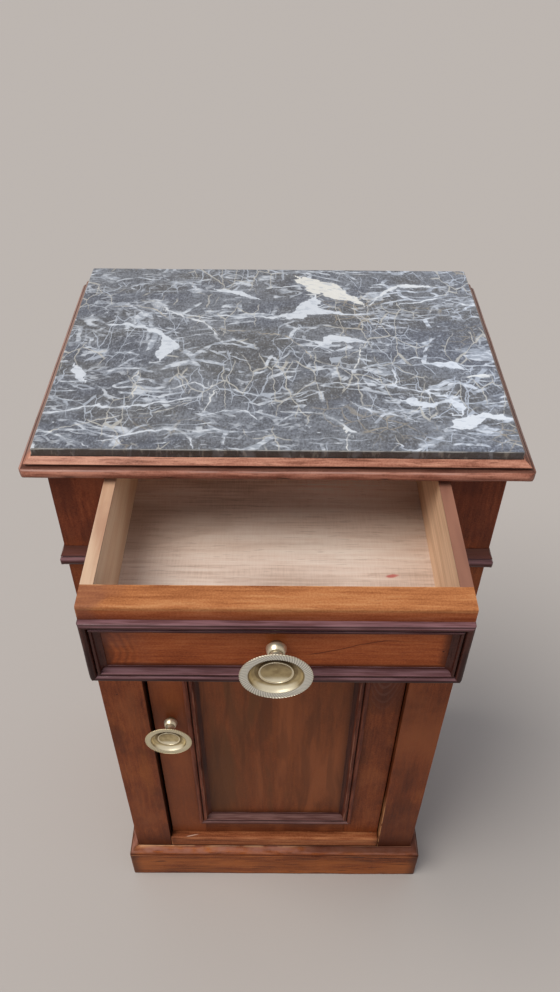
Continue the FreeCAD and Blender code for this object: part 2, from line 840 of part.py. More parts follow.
# Hinge plates with their pins, let into the top and bottom edges of the door
door_upper_plate = board(hinge_plate_x, hinge_plate_y, (door_top - hinge_plate_thickness, door_top))
door_lower_plate = board(hinge_plate_x, hinge_plate_y, (door_base, door_base + hinge_plate_thickness))
door_screws = [(Vector(x, screw_y, door_top), down) for x in screw_xs]
door_screws += [(Vector(x, screw_y, door_base), up) for x in screw_xs]
door_holes = Part.makeCompound([screw(head, way, fastener_clearance) for head, way in door_screws])
upper_pivot = Vector(pivot_x, pivot_y, door_top)
lower_pivot = Vector(pivot_x, pivot_y, door_base)
upper_pin = Part.makeCylinder(pin_radius, pin_length, upper_pivot, up)
lower_pin = Part.makeCylinder(pin_radius, pin_length, lower_pivot, down)
collar = Part.makeCylinder(hinge_collar_diameter / 2, door_gap - hinge_collar_play, lower_pivot, down)
nodes["hinge_screws_door"] = Part.makeCompound([screw(head, way) for head, way in door_screws])
nodes["hinge_pivot_upper"] = door_upper_plate.fuse(upper_pin).cut(door_holes)
nodes["hinge_pivot_lower"] = door_lower_plate.fuse([lower_pin, collar]).cut(door_holes)
nodes["door_stile_right"] = door_stile_right.cut(door_cuts + [door_upper_plate, door_lower_plate, door_holes])

# Stop that the top of the door closes against, glued under the dust board
stop_middle = (door_left + door_right) / 2
nodes["door_stop"] = board(
    (stop_middle - door_stop_length / 2, stop_middle + door_stop_length / 2),
    (door_back + running_clearance, door_back + running_clearance + door_stop_width),
    (door_top - door_stop_lap, dust_base),
)

# Turn latch: knob, spindle through the door, and a tongue that turns behind the keeper
tongue_face = door_back + latch_clearance
tongue_back = tongue_face + tongue_thickness
tongue_round = tongue_width / 2
tongue = outline(
    lambda x, z: Vector(latch_x + x, tongue_face, latch_z + z),
    (-tongue_round, 0.0),
    ((0.0, tongue_round), (tongue_round, 0.0)),
    (tongue_round, tongue_round - tongue_length),
    ((0.0, -tongue_length), (-tongue_round, tongue_round - tongue_length)),
).extrude(Vector(0, tongue_thickness, 0))
spindle_start = latch_axis - Vector(0, stud_bury, 0)
spindle_end = Vector(latch_x, tongue_back, latch_z)
spindle_length = spindle_end.y - spindle_start.y
spindle_hole_radius = spindle_radius + fastener_clearance
spindle_hole = Part.makeCylinder(spindle_hole_radius, spindle_length, spindle_start, backwards)
spindle = Part.makeCylinder(spindle_radius, spindle_length, spindle_start, backwards)
spindle_head = Part.makeCylinder(spindle_head_diameter / 2, spindle_head_height, spindle_end, backwards)
nodes["latch_tongue"] = tongue.cut(spindle_hole)
nodes["latch_spindle"] = spindle.fuse(spindle_head)
nodes["door_knob"] = knob(latch_x, latch_z, door_face, latch_clearance, spindle_hole_radius)
nodes["latch_keeper"] = board(
    (-opening - keeper_width, -opening),
    (stile_thickness, stile_thickness + keeper_thickness),
    (latch_z - keeper_height / 2, latch_z + keeper_height / 2),
)

# The origin goes to the floor under the middle of the footprint, with the drawer open as built
front_most = drawer_face - knob_reach
back_most = body_depth + marble_back_overhang
to_origin = Vector(0, -(front_most + back_most) / 2, 0)

os.makedirs("parts", exist_ok=True)
for name, shape in nodes.items():
    solids = shape.removeSplitter().Solids
    piece = solids[0] if len(solids) == 1 else Part.makeCompound(solids)
    piece.translate(to_origin)
    piece.exportStep("parts/" + name + ".step")
print(len(nodes), "pieces; stile face at y =", round(to_origin.y, 3))
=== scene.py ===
import math

import bpy
import numpy as np
from mathutils import Matrix, Vector


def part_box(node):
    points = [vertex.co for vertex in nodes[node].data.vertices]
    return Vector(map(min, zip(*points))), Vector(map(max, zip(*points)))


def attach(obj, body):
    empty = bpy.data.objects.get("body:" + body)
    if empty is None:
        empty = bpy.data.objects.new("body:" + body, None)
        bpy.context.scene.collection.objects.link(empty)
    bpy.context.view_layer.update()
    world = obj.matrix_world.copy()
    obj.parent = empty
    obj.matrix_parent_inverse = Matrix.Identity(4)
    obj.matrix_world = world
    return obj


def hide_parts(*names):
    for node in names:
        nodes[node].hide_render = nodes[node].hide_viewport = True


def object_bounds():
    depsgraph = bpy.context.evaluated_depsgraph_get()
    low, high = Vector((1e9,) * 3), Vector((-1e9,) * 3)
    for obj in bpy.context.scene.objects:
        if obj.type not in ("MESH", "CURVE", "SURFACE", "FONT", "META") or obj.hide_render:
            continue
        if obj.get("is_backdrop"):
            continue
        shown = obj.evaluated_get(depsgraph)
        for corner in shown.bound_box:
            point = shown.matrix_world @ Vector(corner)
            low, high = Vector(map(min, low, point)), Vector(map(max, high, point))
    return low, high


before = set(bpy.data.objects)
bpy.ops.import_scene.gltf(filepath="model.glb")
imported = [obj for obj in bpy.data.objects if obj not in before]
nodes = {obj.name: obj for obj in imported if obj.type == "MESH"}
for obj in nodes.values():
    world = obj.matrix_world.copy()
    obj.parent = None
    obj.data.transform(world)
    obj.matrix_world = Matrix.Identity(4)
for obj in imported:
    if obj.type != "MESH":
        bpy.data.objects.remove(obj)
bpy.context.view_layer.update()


# Hidden boards of the carcase: top board, back, dust board, cupboard floor, runners, guides, stops
# and glue blocks. They are plain sawn softwood, glued and nailed, never stained, grey with age.

class Shade:
    """A socket in a material, so that shader maths can be written as Python expressions."""

    def __init__(self, socket):
        self.socket = socket

    def node(self, kind, settings, sockets, output=0):
        """Adds a node of that kind, sets it up, fills its sockets and gives one of its outputs."""
        tree = self.socket.id_data
        made = tree.nodes.new("ShaderNode" + kind)
        for name, value in settings.items():
            if name == "stops":
                stops = made.color_ramp.elements
                while len(stops) < len(value):
                    stops.new(0.5)
                for stop, (position, colour) in zip(stops, value):
                    stop.position = position
                    stop.color = (*colour, 1.0)
            else:
                setattr(made, name, value)
        for name, value in sockets.items():
            if isinstance(value, Shade):
                tree.links.new(value.socket, made.inputs[name])
            else:
                made.inputs[name].default_value = value
        return Shade(made.outputs[output])

    def math(self, operation, first, second=0.0):
        return self.node("Math", {"operation": operation}, {0: first, 1: second})

    def __add__(self, other):
        return self.math("ADD", self, other)

    __radd__ = __add__

    def __sub__(self, other):
        return self.math("SUBTRACT", self, other)

    def __rsub__(self, other):
        return self.math("SUBTRACT", other, self)

    def __mul__(self, other):
        return self.math("MULTIPLY", self, other)

    __rmul__ = __mul__

    def __truediv__(self, other):
        return self.math("DIVIDE", self, other)

    def __abs__(self):
        return self.math("ABSOLUTE", self)

    def least(self, other):
        return self.math("MINIMUM", self, other)

    def most(self, other):
        return self.math("MAXIMUM", self, other)

    def sine(self):
        return self.math("SINE", self)

    def root(self):
        return self.math("SQRT", self)

    def step(self, start, end):
        """0 before start, 1 past end and smooth between them; start may be the larger one."""
        low, high = min(start, end), max(start, end)
        bounds = {"Value": self, "From Min": low, "From Max": high}
        rise = self.node("MapRange", {"interpolation_type": "SMOOTHSTEP"}, bounds)
        return rise if start < end else 1 - rise

    def band(self, start, full, fade, end):
        """0 before start, 1 from full to fade and 0 again past end."""
        return self.step(start, full) * self.step(end, fade)

    def part(self, axis):
        """One coordinate, 0 to 2, of a vector."""
        return self.node("SeparateXYZ", {}, {0: self}, axis)


def finish(name):
    """New material, and the place on the piece, in metres, that its patterns start from."""
    made = bpy.data.materials.new(name)
    made.use_nodes = True
    place = made.node_tree.nodes.new("ShaderNodeTexCoord").outputs["Object"]
    return made, Shade(place)


def coat(material, **sockets):
    """Fills sockets of the material's shader; their names have _ for a space."""
    tree = material.node_tree
    shader = next(n for n in tree.nodes if n.type == "BSDF_PRINCIPLED")
    for name, value in sockets.items():
        socket = shader.inputs[name.replace("_", " ")]
        if isinstance(value, Shade):
            tree.links.new(value.socket, socket)
        else:
            socket.default_value = value
    return material


def stretched(place, scale, turn=(0.0, 0.0, 0.0), shift=(0.0, 0.0, 0.0)):
    """The place turned, scaled along each axis and shifted."""
    sockets = {"Vector": place, "Scale": scale, "Rotation": turn, "Location": shift}
    return place.node("Mapping", {}, sockets)


def noise(place, scale=1.0, detail=3.0, distortion=0.0, shift=(0.0, 0.0, 0.0)):
    """Cloudy value about 0.5. With three scales the cloud is drawn out along the axes."""
    if isinstance(scale, tuple):
        place, scale = stretched(place, scale, shift=shift), 1.0
    sockets = {"Vector": place, "Scale": scale, "Detail": detail, "Distortion": distortion}
    return place.node("TexNoise", {}, sockets)


def mix(factor, first, second, blend="MIX"):
    """Colour between two colours."""
    settings = {"data_type": "RGBA", "blend_type": blend}
    ends = [c if isinstance(c, Shade) else (*c, 1.0) for c in (first, second)]
    return factor.node("Mix", settings, {0: factor, 6: ends[0], 7: ends[1]}, 2)


def ramp(value, *stops):
    """Colour by value."""
    return value.node("ValToRGB", {"stops": stops}, {0: value})


def bump(height, depth, strength):
    """Normal of a surface raised by height times depth, in metres."""
    return height.node("Bump", {}, {"Height": height, "Distance": depth, "Strength": strength})


def laid(place, grain, seed):
    """The place turned so that the grain of a board runs along X, in a stretch of log of its own."""
    turns = {"x": (0.0, 0.0, 0.0), "y": (0.0, 0.0, math.pi / 2), "z": (0.0, math.pi / 2, 0.0)}
    return stretched(place, (1.0, 1.0, 1.0), turns[grain], (3.1 * seed, 1.7 * seed, 2.3 * seed))


def plain_wood(name, grain, seed, pale, brown, repaint=None):
    """Bare wood: growth bands, fine fibres and a little dust, with no polish."""
    made, place = finish(name)
    lie = laid(place, grain, seed)
    bands = (noise(lie, (1.5, 16, 16), 2) * 40.0).sine() * 0.5 + 0.5
    fibres = noise(lie, (16, 420, 420), 2)
    stain = noise(place, 9, 4)
    tone = bands * 0.30 + fibres + stain * 0.6 - 0.45
    colour = ramp(tone, (0.2, brown), (0.75, pale))
    if repaint:
        colour = repaint(place, colour)
    coat(made, Base_Color=colour, Roughness=0.62 + fibres * 0.2, Normal=bump(fibres, 0.0002, 0.5))
    return made


def dress(material, *names):
    """Gives CAD nodes this material."""
    for name in names:
        nodes[name].data.materials.clear()
        nodes[name].data.materials.append(material)


softwood_pale = (0.47, 0.32, 0.19)
softwood_brown = (0.26, 0.15, 0.08)
runners = ("drawer_runner_left", "drawer_runner_right", "drawer_guide_left", "drawer_guide_right")
softwood_boards = (
    ("softwood_across", "x", ("dust_board", "cupboard_floor", "top_board")),
    ("softwood_upright", "z", ("back_panel",)),
    ("softwood_lengthwise", "y", (*runners, "drawer_stops", "glue_blocks")),
    ("softwood_blocks", "x", ("door_stop", "latch_keeper")),
)
for seed, (name, grain, boards) in enumerate(softwood_boards, 1):
    dress(plain_wood(name, grain, seed, softwood_pale, softwood_brown), *boards)


# Side panels and drawer rail: solid walnut boards, stained red-brown and French polished outside,
# left plain inside. The rail is tenoned into the stiles and the panels are glued behind them.

walnut_dark = (0.052, 0.0095, 0.004)
walnut_middle = (0.222, 0.0525, 0.0165)
walnut_light = (0.400, 0.120, 0.037)


def polished_wood(
    name, grain, seed, colours, worn, repaint=None, figure=30.0, lively=0.3, shine=0.03, rubbed=None
):
    """French-polished wood: contour bands of a stretched cloud, streaks, short dark pores, worm holes
    and cloudy polish. lively is the strength of the figure and repaint may change the colour; worn
    arrises are rubbed back to lighter wood."""
    made, place = finish(name)
    lie = laid(place, grain, seed)
    cloud = noise(lie, (1.2, 11, 11), 2, 0.4)
    bands = (cloud * figure).sine() * 0.5 + 0.5
    broad = noise(lie, (2.4, 26, 26), 4)
    fibres = noise(lie, (26, 360, 360), 4)
    pores = noise(lie, (90, 900, 900), 1).step(0.60, 0.70)
    specks = noise(place, 700, 2)
    age = noise(place, 17, 5)
    figured = bands * 0.2 + broad + fibres * 1.6 - 1.4
    tone = 0.5 + figured * lively + (specks - 0.5) * 0.5 + (age - 0.5) * 0.35
    dark, middle, light = colours
    colour = ramp(tone, (0.15, dark), (0.5, middle), (0.88, light))
    colour = mix(pores * (0.15 + 0.35 * lively), colour, dark)
    cells = place.node("TexVoronoi", {}, {"Vector": place, "Scale": 40.0})
    holes = cells.step(0.042, 0.028) * noise(place, 9).step(0.55, 0.58)
    colour = mix(holes * 0.85, colour, (0.012, 0.004, 0.003))
    if repaint:
        colour = repaint(place, colour)
    rub = worn(place)
    rubbed = rubbed or tuple(min(1.0, c * 1.15 + 0.02) for c in light)
    colour = mix((rub * 0.7).least(1.0), colour, rubbed)
    coat(
        made,
        Base_Color=colour,
        Roughness=0.32 + 0.16 * age + fibres * 0.12,
        Coat_Weight=(1.0 - pores * 0.6) * (1.0 - rub * 0.6) * shine,
        Coat_Roughness=0.14,
        Specular_IOR_Level=0.10,
        Normal=bump(fibres * 0.8 - pores * 0.5 + age * 0.8 - holes, 0.00022, 0.45),
    )
    return made


def mark(name):
    """Reads one of the marks that a piece's own points carry, from 0 to 1."""
    return lambda place: place.node("Attribute", {"attribute_name": name}, {}, 2)


def near_arris(node, reach):
    """How close a place is to the arrises of a CAD board: 1 on them, 0 a reach away and further.
    On a box's face the distance to the nearest arris is the middle one of the three to its sides."""
    low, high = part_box(node)

    def worn(place):
        away = [(place.part(k) - low[k]).least(high[k] - place.part(k)) for k in range(3)]
        least = away[0].least(away[1]).least(away[2])
        most = away[0].most(away[1]).most(away[2])
        middle = away[0] + away[1] + away[2] - least - most
        return middle.step(reach, 0.0) * noise(place, 60, 3).step(0.40, 0.62)

    return worn


walnut = (walnut_dark, walnut_middle, walnut_light)
arris_wear = 0.002
for seed, board in ((11, "side_panel_left"), (12, "side_panel_right")):
    dress(polished_wood("walnut_" + board, "z", seed, walnut, near_arris(board, arris_wear)), board)
dress(polished_wood("walnut_rail", "x", 13, walnut, near_arris("drawer_rail", arris_wear)), "drawer_rail")


# Front stiles: two upright walnut boards that make the front corners of the carcase, planed,
# mortised for the rails and French polished. Their arrises are eased by a century of hands.

def ripple(points, wavelength, seed):
    """Smooth unevenness from about -1 to 1: the mean of cosine waves with drawn ways and phases."""
    draw = np.random.default_rng(seed)
    count = 14
    ways = draw.normal(size=(count, 3))
    ways /= np.linalg.norm(ways, axis=1, keepdims=True)
    ways *= 2 * np.pi / wavelength * draw.uniform(0.5, 1.5, (count, 1))
    phases = draw.uniform(0, 2 * np.pi, count)
    return np.cos(points @ ways.T + phases).sum(-1) / math.sqrt(count)


def eased_board(low, high, radius, step):
    """Board with rounded arrises. Six grids cover its box; each of their points goes to the nearest
    point of the box shrunk by the radius, and from there one radius towards where it was. Gives the
    points, faces, outward directions and how far round an arris each point lies, from 0 to 1."""
    low, high = np.array(low), np.array(high)
    rim = radius * (1 - np.tan(np.radians([45, 30, 15])))
    lines = []
    for start, end in zip(low + radius, high - radius):
        count = max(3, round((end - start) / step) + 1)
        flat = np.linspace(start, end, count)
        support = [start + radius / 2, end - radius / 2]
        flat = np.sort(np.concatenate([flat, support]))
        lines.append(np.concatenate([start - radius + rim, flat, (end + radius - rim)[::-1]]))
    points, faces = [], []
    total = 0
    for axis in range(3):
        u, v = (axis + 1) % 3, (axis + 2) % 3
        for side, level in ((-1, low[axis]), (1, high[axis])):
            grid = np.empty((len(lines[u]), len(lines[v]), 3))
            grid[..., u], grid[..., v] = np.meshgrid(lines[u], lines[v], indexing="ij")
            grid[..., axis] = level
            index = total + np.arange(grid[..., 0].size).reshape(grid.shape[:2])
            total += index.size
            corners = index[:-1, :-1], index[1:, :-1], index[1:, 1:], index[:-1, 1:]
            quads = np.stack(corners, -1).reshape(-1, 4)
            points.append(grid.reshape(-1, 3))
            faces.append(quads[:, ::side])
    points, faces = np.concatenate(points), np.concatenate(faces)
    grid_cells = np.round(points * 1e7).astype(np.int64)
    _, kept, which = np.unique(grid_cells, axis=0, return_index=True, return_inverse=True)
    points, faces = points[kept], which.ravel()[faces]
    inner = np.clip(points, low + radius, high - radius)
    outward = points - inner
    outward /= np.linalg.norm(outward, axis=1, keepdims=True)
    arris = (1 - np.abs(outward).max(axis=1)) / (1 - math.sqrt(0.5))
    return inner + radius * outward, faces, outward, arris


sharp_angle = math.radians(50)


def place_piece(name, points, faces, body, stands_for, material, marks):
    """Makes a smooth piece with its marks as attributes, on its body and in place of a CAD node."""
    mesh = bpy.data.meshes.new(name)
    mesh.from_pydata(points.tolist(), [], [list(face) for face in faces])
    for key, values in marks.items():
        mesh.attributes.new(key, "FLOAT", "POINT").data.foreach_set("value", values.astype(np.float32))
    mesh.shade_smooth()
    mesh.set_sharp_from_angle(angle=sharp_angle)
    mesh.materials.append(material)
    piece = bpy.data.objects.new(name, mesh)
    bpy.context.scene.collection.objects.link(piece)
    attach(piece, body)
    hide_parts(stands_for)


board_step = 0.008
board_waves = 0.00007
board_wavelength = 0.09
rub_wavelength = 0.05
dent_wavelength = 0.02
dent_depth = 0.0003


def worn_board(name, low, high, radius, seed, body, stands_for, material):
    """Eased board whose faces sink and rise in long waves, and whose arrises are rubbed in places and
    dented there in short ones."""
    points, faces, outward, arris = eased_board(low, high, radius, board_step)
    rubbed = np.clip(0.55 + 0.6 * ripple(points, rub_wavelength, seed), 0, 1) * arris
    sunk = board_waves * np.clip(2 + ripple(points, board_wavelength, seed + 1), 0, 4)
    sunk += dent_depth * rubbed * np.clip(ripple(points, dent_wavelength, seed + 2), 0, 1)
    points = points - outward * sunk[:, None]
    place_piece(name, points, faces, body, stands_for, material, {"worn": rubbed})


stile_ease = 0.0005
stile_low, stile_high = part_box("front_stile_right")
opening_half = stile_low.x
foot_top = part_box("plinth_front")[1].z
waist_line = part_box("waist_moulding_front")[1].z
worn_patch = (-0.160, 0.268)
worn_patch_half = (0.011, 0.070)
glow_heights = (0.22, 0.34, 0.54, 0.66)
shade_heights = (0.26, 0.10)
pale_heights = (0.215, 0.165)


def blotched(place, colour):
    """Old polish that has clouded: darker and lighter patches about a thumb wide."""
    blotch = noise(place, (26, 26, 15), 5)
    colour = mix(blotch.step(0.50, 0.36) * 0.45, colour, (0.085, 0.022, 0.010))
    return mix(blotch.step(0.52, 0.68) * 0.40, colour, (0.345, 0.105, 0.036))


def smear(first, second, middle, half, ragged, slant=0.0):
    """About 0 in the middle of a leaning ellipse and 1 on its edge: the squares of both distances
    from the middle, as shares of its half sizes, summed, with raggedness added."""
    east = first - middle[0]
    along = east / half[0]
    across = (second - middle[1] - east * slant) / half[1]
    return along * along + across * across + ragged


def grimed_and_shaded(place, colour):
    """A darker, more purple head above the waist, as painted shade under the top; black painted shade
    towards the opening; darker just above the plinth; a patch rubbed orange on the left and, on the
    right, a glow halfway up, painted shade below it and, at the foot, an arris worn pale."""
    across, up = place.part(0), place.part(2)
    colour = blotched(place, colour)
    # Painted shade: the head above the waist is darker and more purple, as under the top's overhang.
    colour = mix(up.step(waist_line - 0.01, waist_line + 0.02), colour, (0.86, 0.88, 1.20), "MULTIPLY")
    patch = smear(across, up, worn_patch, worn_patch_half, noise(place, 60, 4) * 1.2).step(1.5, 0.5)
    colour = mix(patch * 0.35, colour, (0.40, 0.125, 0.030))
    right = across.step(0.0, 0.02)
    glow = right * up.band(*glow_heights) * noise(place, 12, 4).step(0.30, 0.60)
    colour = mix(glow * 0.65, colour, (0.350, 0.102, 0.035))
    # Painted shade low on the right stile, below the glow.
    colour = mix(right * up.step(*shade_heights) * 0.45, colour, (0.075, 0.020, 0.010))
    # Painted shade: near black on the inner faces and arrises at the opening, less on the right.
    edge = abs(across).step(opening_half + 0.0008, opening_half + 0.0002)
    colour = mix(edge * (0.85 - right * 0.55), colour, (0.030, 0.010, 0.006))
    foot = up.step(foot_top + 0.045, foot_top) * (0.5 + noise(place, 40) * 0.5)
    colour = mix(foot * 0.9, colour, (0.040, 0.010, 0.006))
    arris = across.band(opening_half, opening_half + 0.0003, opening_half + 0.0008, opening_half + 0.0017)
    arris = arris * up.step(*pale_heights) * noise(place, 90, 3).step(0.33, 0.47)
    return mix(arris * 0.85, colour, (0.62, 0.30, 0.130))


for index, side in enumerate(("left", "right")):
    stile = "front_stile_" + side
    low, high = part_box(stile)
    wood = polished_wood("walnut_stile_" + side, "z", 21 + index, walnut, mark("worn"), grimed_and_shaded)
    worn_board("stile_" + side, low, high, stile_ease, 30 + index, "carcase", stile, wood)


# Waist moulding: a walnut strip worked with a bead, a fillet and a hollow, mitred round the front
# and sides of the carcase and glued on where the drawer rail lies. Its quirks hold dark old polish
# and painted shade, and its bead has a painted sheen.

def turned_arc(centre, radius, start, end, count=12):
    """Points on a circle from one angle to another, in degrees."""
    angles = np.radians(np.linspace(start, end, count))
    return np.stack([centre[0] + radius * np.cos(angles), centre[1] + radius * np.sin(angles)], -1)


def bead(foot, head, crown, count=14):
    """Round bead between two points, standing proud of the line between them by the crown: the
    circle through both whose height over its chord is the crown. It bulges to the right of the way."""
    foot, head = np.array(foot), np.array(head)
    half = np.linalg.norm(head - foot) / 2
    radius = (half ** 2 + crown ** 2) / (2 * crown)
    way = (head - foot) / (2 * half)
    out = np.array([way[1], -way[0]])
    middle = (foot + head) / 2 + out * (crown - radius)
    reach = math.atan2(half, radius - crown)
    angles = np.linspace(-reach, reach, count)
    return middle + radius * (np.cos(angles)[:, None] * out + np.sin(angles)[:, None] * way)


def hollow(start, end, axis, count=12):
    """Arc from start that runs along one axis, 0 or 1, where it reaches its end."""
    start, end = np.array(start), np.array(end)
    along, across = (start - end)[axis], (start - end)[1 - axis]
    radius = (along ** 2 + across ** 2) / (2 * abs(across))
    angles = np.linspace(math.atan2(abs(along), radius - abs(across)), 0, count)
    curve = np.empty((count, 2))
    curve[:, axis] = end[axis] + np.sign(along) * radius * np.sin(angles)
    curve[:, 1 - axis] = end[1 - axis] + np.sign(across) * radius * (1 - np.cos(angles))
    return curve


def eased_section(outline, spacing, ease):
    """Closed outline resampled evenly, then averaged with its neighbours over a length of ease, so
    that corners round off. Gives the points, their outward directions, and how far each was drawn
    in as a share of ease: above 0 on an arris, below 0 in a corner, which takes dirt and painted shade."""
    ring = np.concatenate([outline, outline[:1]])
    travelled = np.concatenate([[0], np.cumsum(np.linalg.norm(np.diff(ring, axis=0), axis=1))])
    count = int(travelled[-1] / spacing)
    even = np.linspace(0, travelled[-1], count, endpoint=False)
    sharp = np.stack([np.interp(even, travelled, ring[:, k]) for k in (0, 1)], -1)
    lags = (np.arange(count) - count // 2) * spacing
    weights = np.exp(-0.5 * (lags / ease) ** 2)
    spectrum = np.fft.fft(np.fft.ifftshift(weights / weights.sum()))
    soft = np.fft.ifft(np.fft.fft(sharp, axis=0) * spectrum[:, None], axis=0).real
    along = np.roll(soft, -1, axis=0) - np.roll(soft, 1, axis=0)
    out = np.stack([along[:, 1], -along[:, 0]], -1)
    out /= np.linalg.norm(out, axis=1, keepdims=True)
    area = np.sum(soft[:, 0] * np.roll(soft[:, 1], -1) - np.roll(soft[:, 0], -1) * soft[:, 1])
    out *= np.sign(area)
    drawn = np.sum((sharp - soft) * out, axis=1) / ease
    return soft, out, drawn


end_stations = np.array([0.0007, 0.0016, 0.0027, 0.0056, 0.0073])
strip_wavelength = 0.06
strip_rub_wavelength = 0.045
strip_dent_wavelength = 0.018
strip_dent_depth = 0.0002
mark_strength = 2.2


def moulded_strip(section, origin, along, out, rise, start, end, mitre, step, seed, uneven):
    """Carries a section along a straight run. The section's two coordinates go along out and rise;
    the run goes from start to end, lengthened at its ends by mitre times the first coordinate, with
    stations a step apart and closer at its ends. The surface wanders by uneven. Gives points, faces
    and marks: worn, dirt and painted shade in the corners, how far it looks up, and the first
    coordinate from 0 to 1 as inner."""
    shape, outward, drawn = section
    origin, along, out, rise = (np.array(v, float) for v in (origin, along, out, rise))
    first = start - mitre[0] * shape[:, 0]
    last = end + mitre[1] * shape[:, 0]
    evenly = np.linspace(0, 1, max(8, int((end - start) / step)))
    close = end_stations / (end - start)
    share = np.sort(np.concatenate([evenly, close, 1 - close]))[:, None]
    run = first + (last - first) * share
    points = origin + run[..., None] * along + shape[:, 0, None] * out + shape[:, 1, None] * rise
    facing = outward[:, 0, None] * out + outward[:, 1, None] * rise
    wear = np.clip(0.6 + 0.6 * ripple(points, strip_rub_wavelength, seed), 0, 1)
    wear = wear * np.clip(drawn * mark_strength, 0, 1)
    dirt = np.clip(-drawn * mark_strength, 0, 1)
    sunk = uneven * np.clip(2 + ripple(points, strip_wavelength, seed + 1), 0, 4)
    sunk += strip_dent_depth * wear * np.clip(ripple(points, strip_dent_wavelength, seed + 2), 0, 1)
    points = points - facing * sunk[..., None]
    index = np.arange(wear.size).reshape(wear.shape)
    ahead = np.roll(index, -1, axis=1)
    quads = np.stack([index[:-1], ahead[:-1], ahead[1:], index[1:]], -1).reshape(-1, 4)
    faces = [*quads.tolist(), index[0, ::-1].tolist(), index[-1].tolist()]
    points = points.reshape(-1, 3)
    corners = points[quads]
    diagonals = np.cross(corners[:, 2] - corners[:, 0], corners[:, 3] - corners[:, 1])
    if np.sum(diagonals * (corners.mean(1) - points.mean(0))) < 0:
        faces = [face[::-1] for face in faces]
    upward = np.clip(facing[:, 2], 0, 1)
    inner = shape[:, 0] / shape[:, 0].max()
    marks = {"worn": wear, "dirt": dirt, "upward": upward, "inner": inner}
    return points, faces, {key: np.broadcast_to(values, wear.shape).ravel() for key, values in marks.items()}


def draw_in(points, first, second, centre, quarter, radius):
    """Rounds a corner: points in that quarter, beyond radius from the centre, move onto the circle."""
    away = points[:, [first, second]] - centre
    distance = np.linalg.norm(away, axis=1)
    beyond = np.all(away * quarter > 0, axis=1) & (distance > radius)
    pull = np.where(beyond, radius / np.maximum(distance, 1e-9), 1.0)
    points[:, [first, second]] = centre + away * pull[:, None]


face_y = stile_low.y
half_width = stile_high.x
back_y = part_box("plinth_left")[1].y


def wrap(name, section, back, woods, seed, step, uneven, corner, nick=None):
    """Front, left and right strips round the carcase, mitred at the front and rounded at the corners.
    The section is given as distance out from the carcase and height; nick may cut into the front."""
    reach = section[0][:, 0].max()
    runs = {
        "front": ((0, face_y, 0), (1, 0, 0), (0, -1, 0), -half_width, half_width, (1, 1)),
        "left": ((-half_width, 0, 0), (0, 1, 0), (-1, 0, 0), face_y, back, (1, 0)),
        "right": ((half_width, 0, 0), (0, 1, 0), (1, 0, 0), face_y, back, (1, 0)),
    }
    for index, (side, (origin, along, out, start, end, mitre)) in enumerate(runs.items()):
        points, faces, marks = moulded_strip(
            section, origin, along, out, (0, 0, 1), start, end, mitre, step, seed + 5 * index, uneven
        )
        if nick and side == "front":
            nick(points, marks)
        points[:, 2] = np.maximum(points[:, 2], 0)
        for hand in (-1, 1):
            middle = np.array([hand * (half_width + reach - corner), face_y - reach + corner])
            draw_in(points, 0, 1, middle, np.array([hand, -1]), corner)
        wood = woods["x" if side == "front" else "y"]
        place_piece(
            name + "_strip_" + side, points, faces, "carcase", name + "_" + side, wood, marks
        )


def soiled_and_shaded(place, colour):
    """Colour darkened in a piece's corners and dents, by dirt and old polish and by painted shade."""
    # Dirt with painted shade: darker in concave corners and dents.
    return mix(mark("dirt")(place) * 0.75, colour, (0.030, 0.009, 0.006))


waist_low, waist_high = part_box("waist_moulding_front")
waist_root = 0.0014
waist_bead = 0.012
waist_projection = 0.006
waist_fillet = 0.004
waist_fillet_height = 0.0014
waist_edge = 0.0003
bead_top = waist_low.z + waist_bead
fillet_top = (waist_fillet, bead_top + waist_fillet_height)
waist_outline = np.concatenate(
    [
        [(0, waist_low.z)],
        bead((waist_root, waist_low.z), (waist_root, bead_top), waist_projection - waist_root),
        [(waist_fillet, bead_top)],
        hollow(fillet_top, (waist_edge, waist_high.z), 1),
        [(0, waist_high.z)],
    ]
)
waist_section = eased_section(waist_outline, spacing=0.0004, ease=0.0004)
plum_dark = (0.020, 0.004, 0.004)
plum_middle = (0.062, 0.013, 0.011)
plum_light = (0.130, 0.034, 0.026)
plum = (plum_dark, plum_middle, plum_light)
browner_heights = (0.66, 0.60)


def painted_sheen(place, colour):
    """Dark old polish with a painted purple sheen, a painted reflection of the sky, in streaks, where
    the surface looks up. Low down the painted sheen is browner."""
    streaks = noise(place, (30, 420, 420), 4)
    # Painted sheen: a purple reflection of the sky on faces that look up.
    sheen = mark("upward")(place).step(0.05, 0.55) * (0.45 + streaks.step(0.36, 0.64) * 0.55)
    low = place.part(2).step(*browner_heights)
    return soiled_and_shaded(place, mix(sheen, colour, mix(low, (0.250, 0.128, 0.142), (0.235, 0.118, 0.104))))


def waist_tones(place, colour):
    """Dark bead with the painted purple sheen; above it the hollow keeps the red-brown of the stiles."""
    above = place.part(2).step(bead_top - 0.0002, bead_top + 0.0022)
    return mix(above * 0.85, painted_sheen(place, colour), (0.112, 0.031, 0.017))


waist_woods = {
    grain: polished_wood("walnut_waist_" + grain, grain, 41, plum, mark("worn"), waist_tones, shine=0.35)
    for grain in "xy"
}
wrap(
    "waist_moulding", waist_section, back_y, waist_woods,
    seed=50, step=0.004, uneven=0.00010, corner=0.004,
)


# Plinth: three boards planted round the foot of the carcase, mitred at the front, with a quarter
# round and a fillet worked on the top edge. Feet and brooms have rubbed its lower half orange.

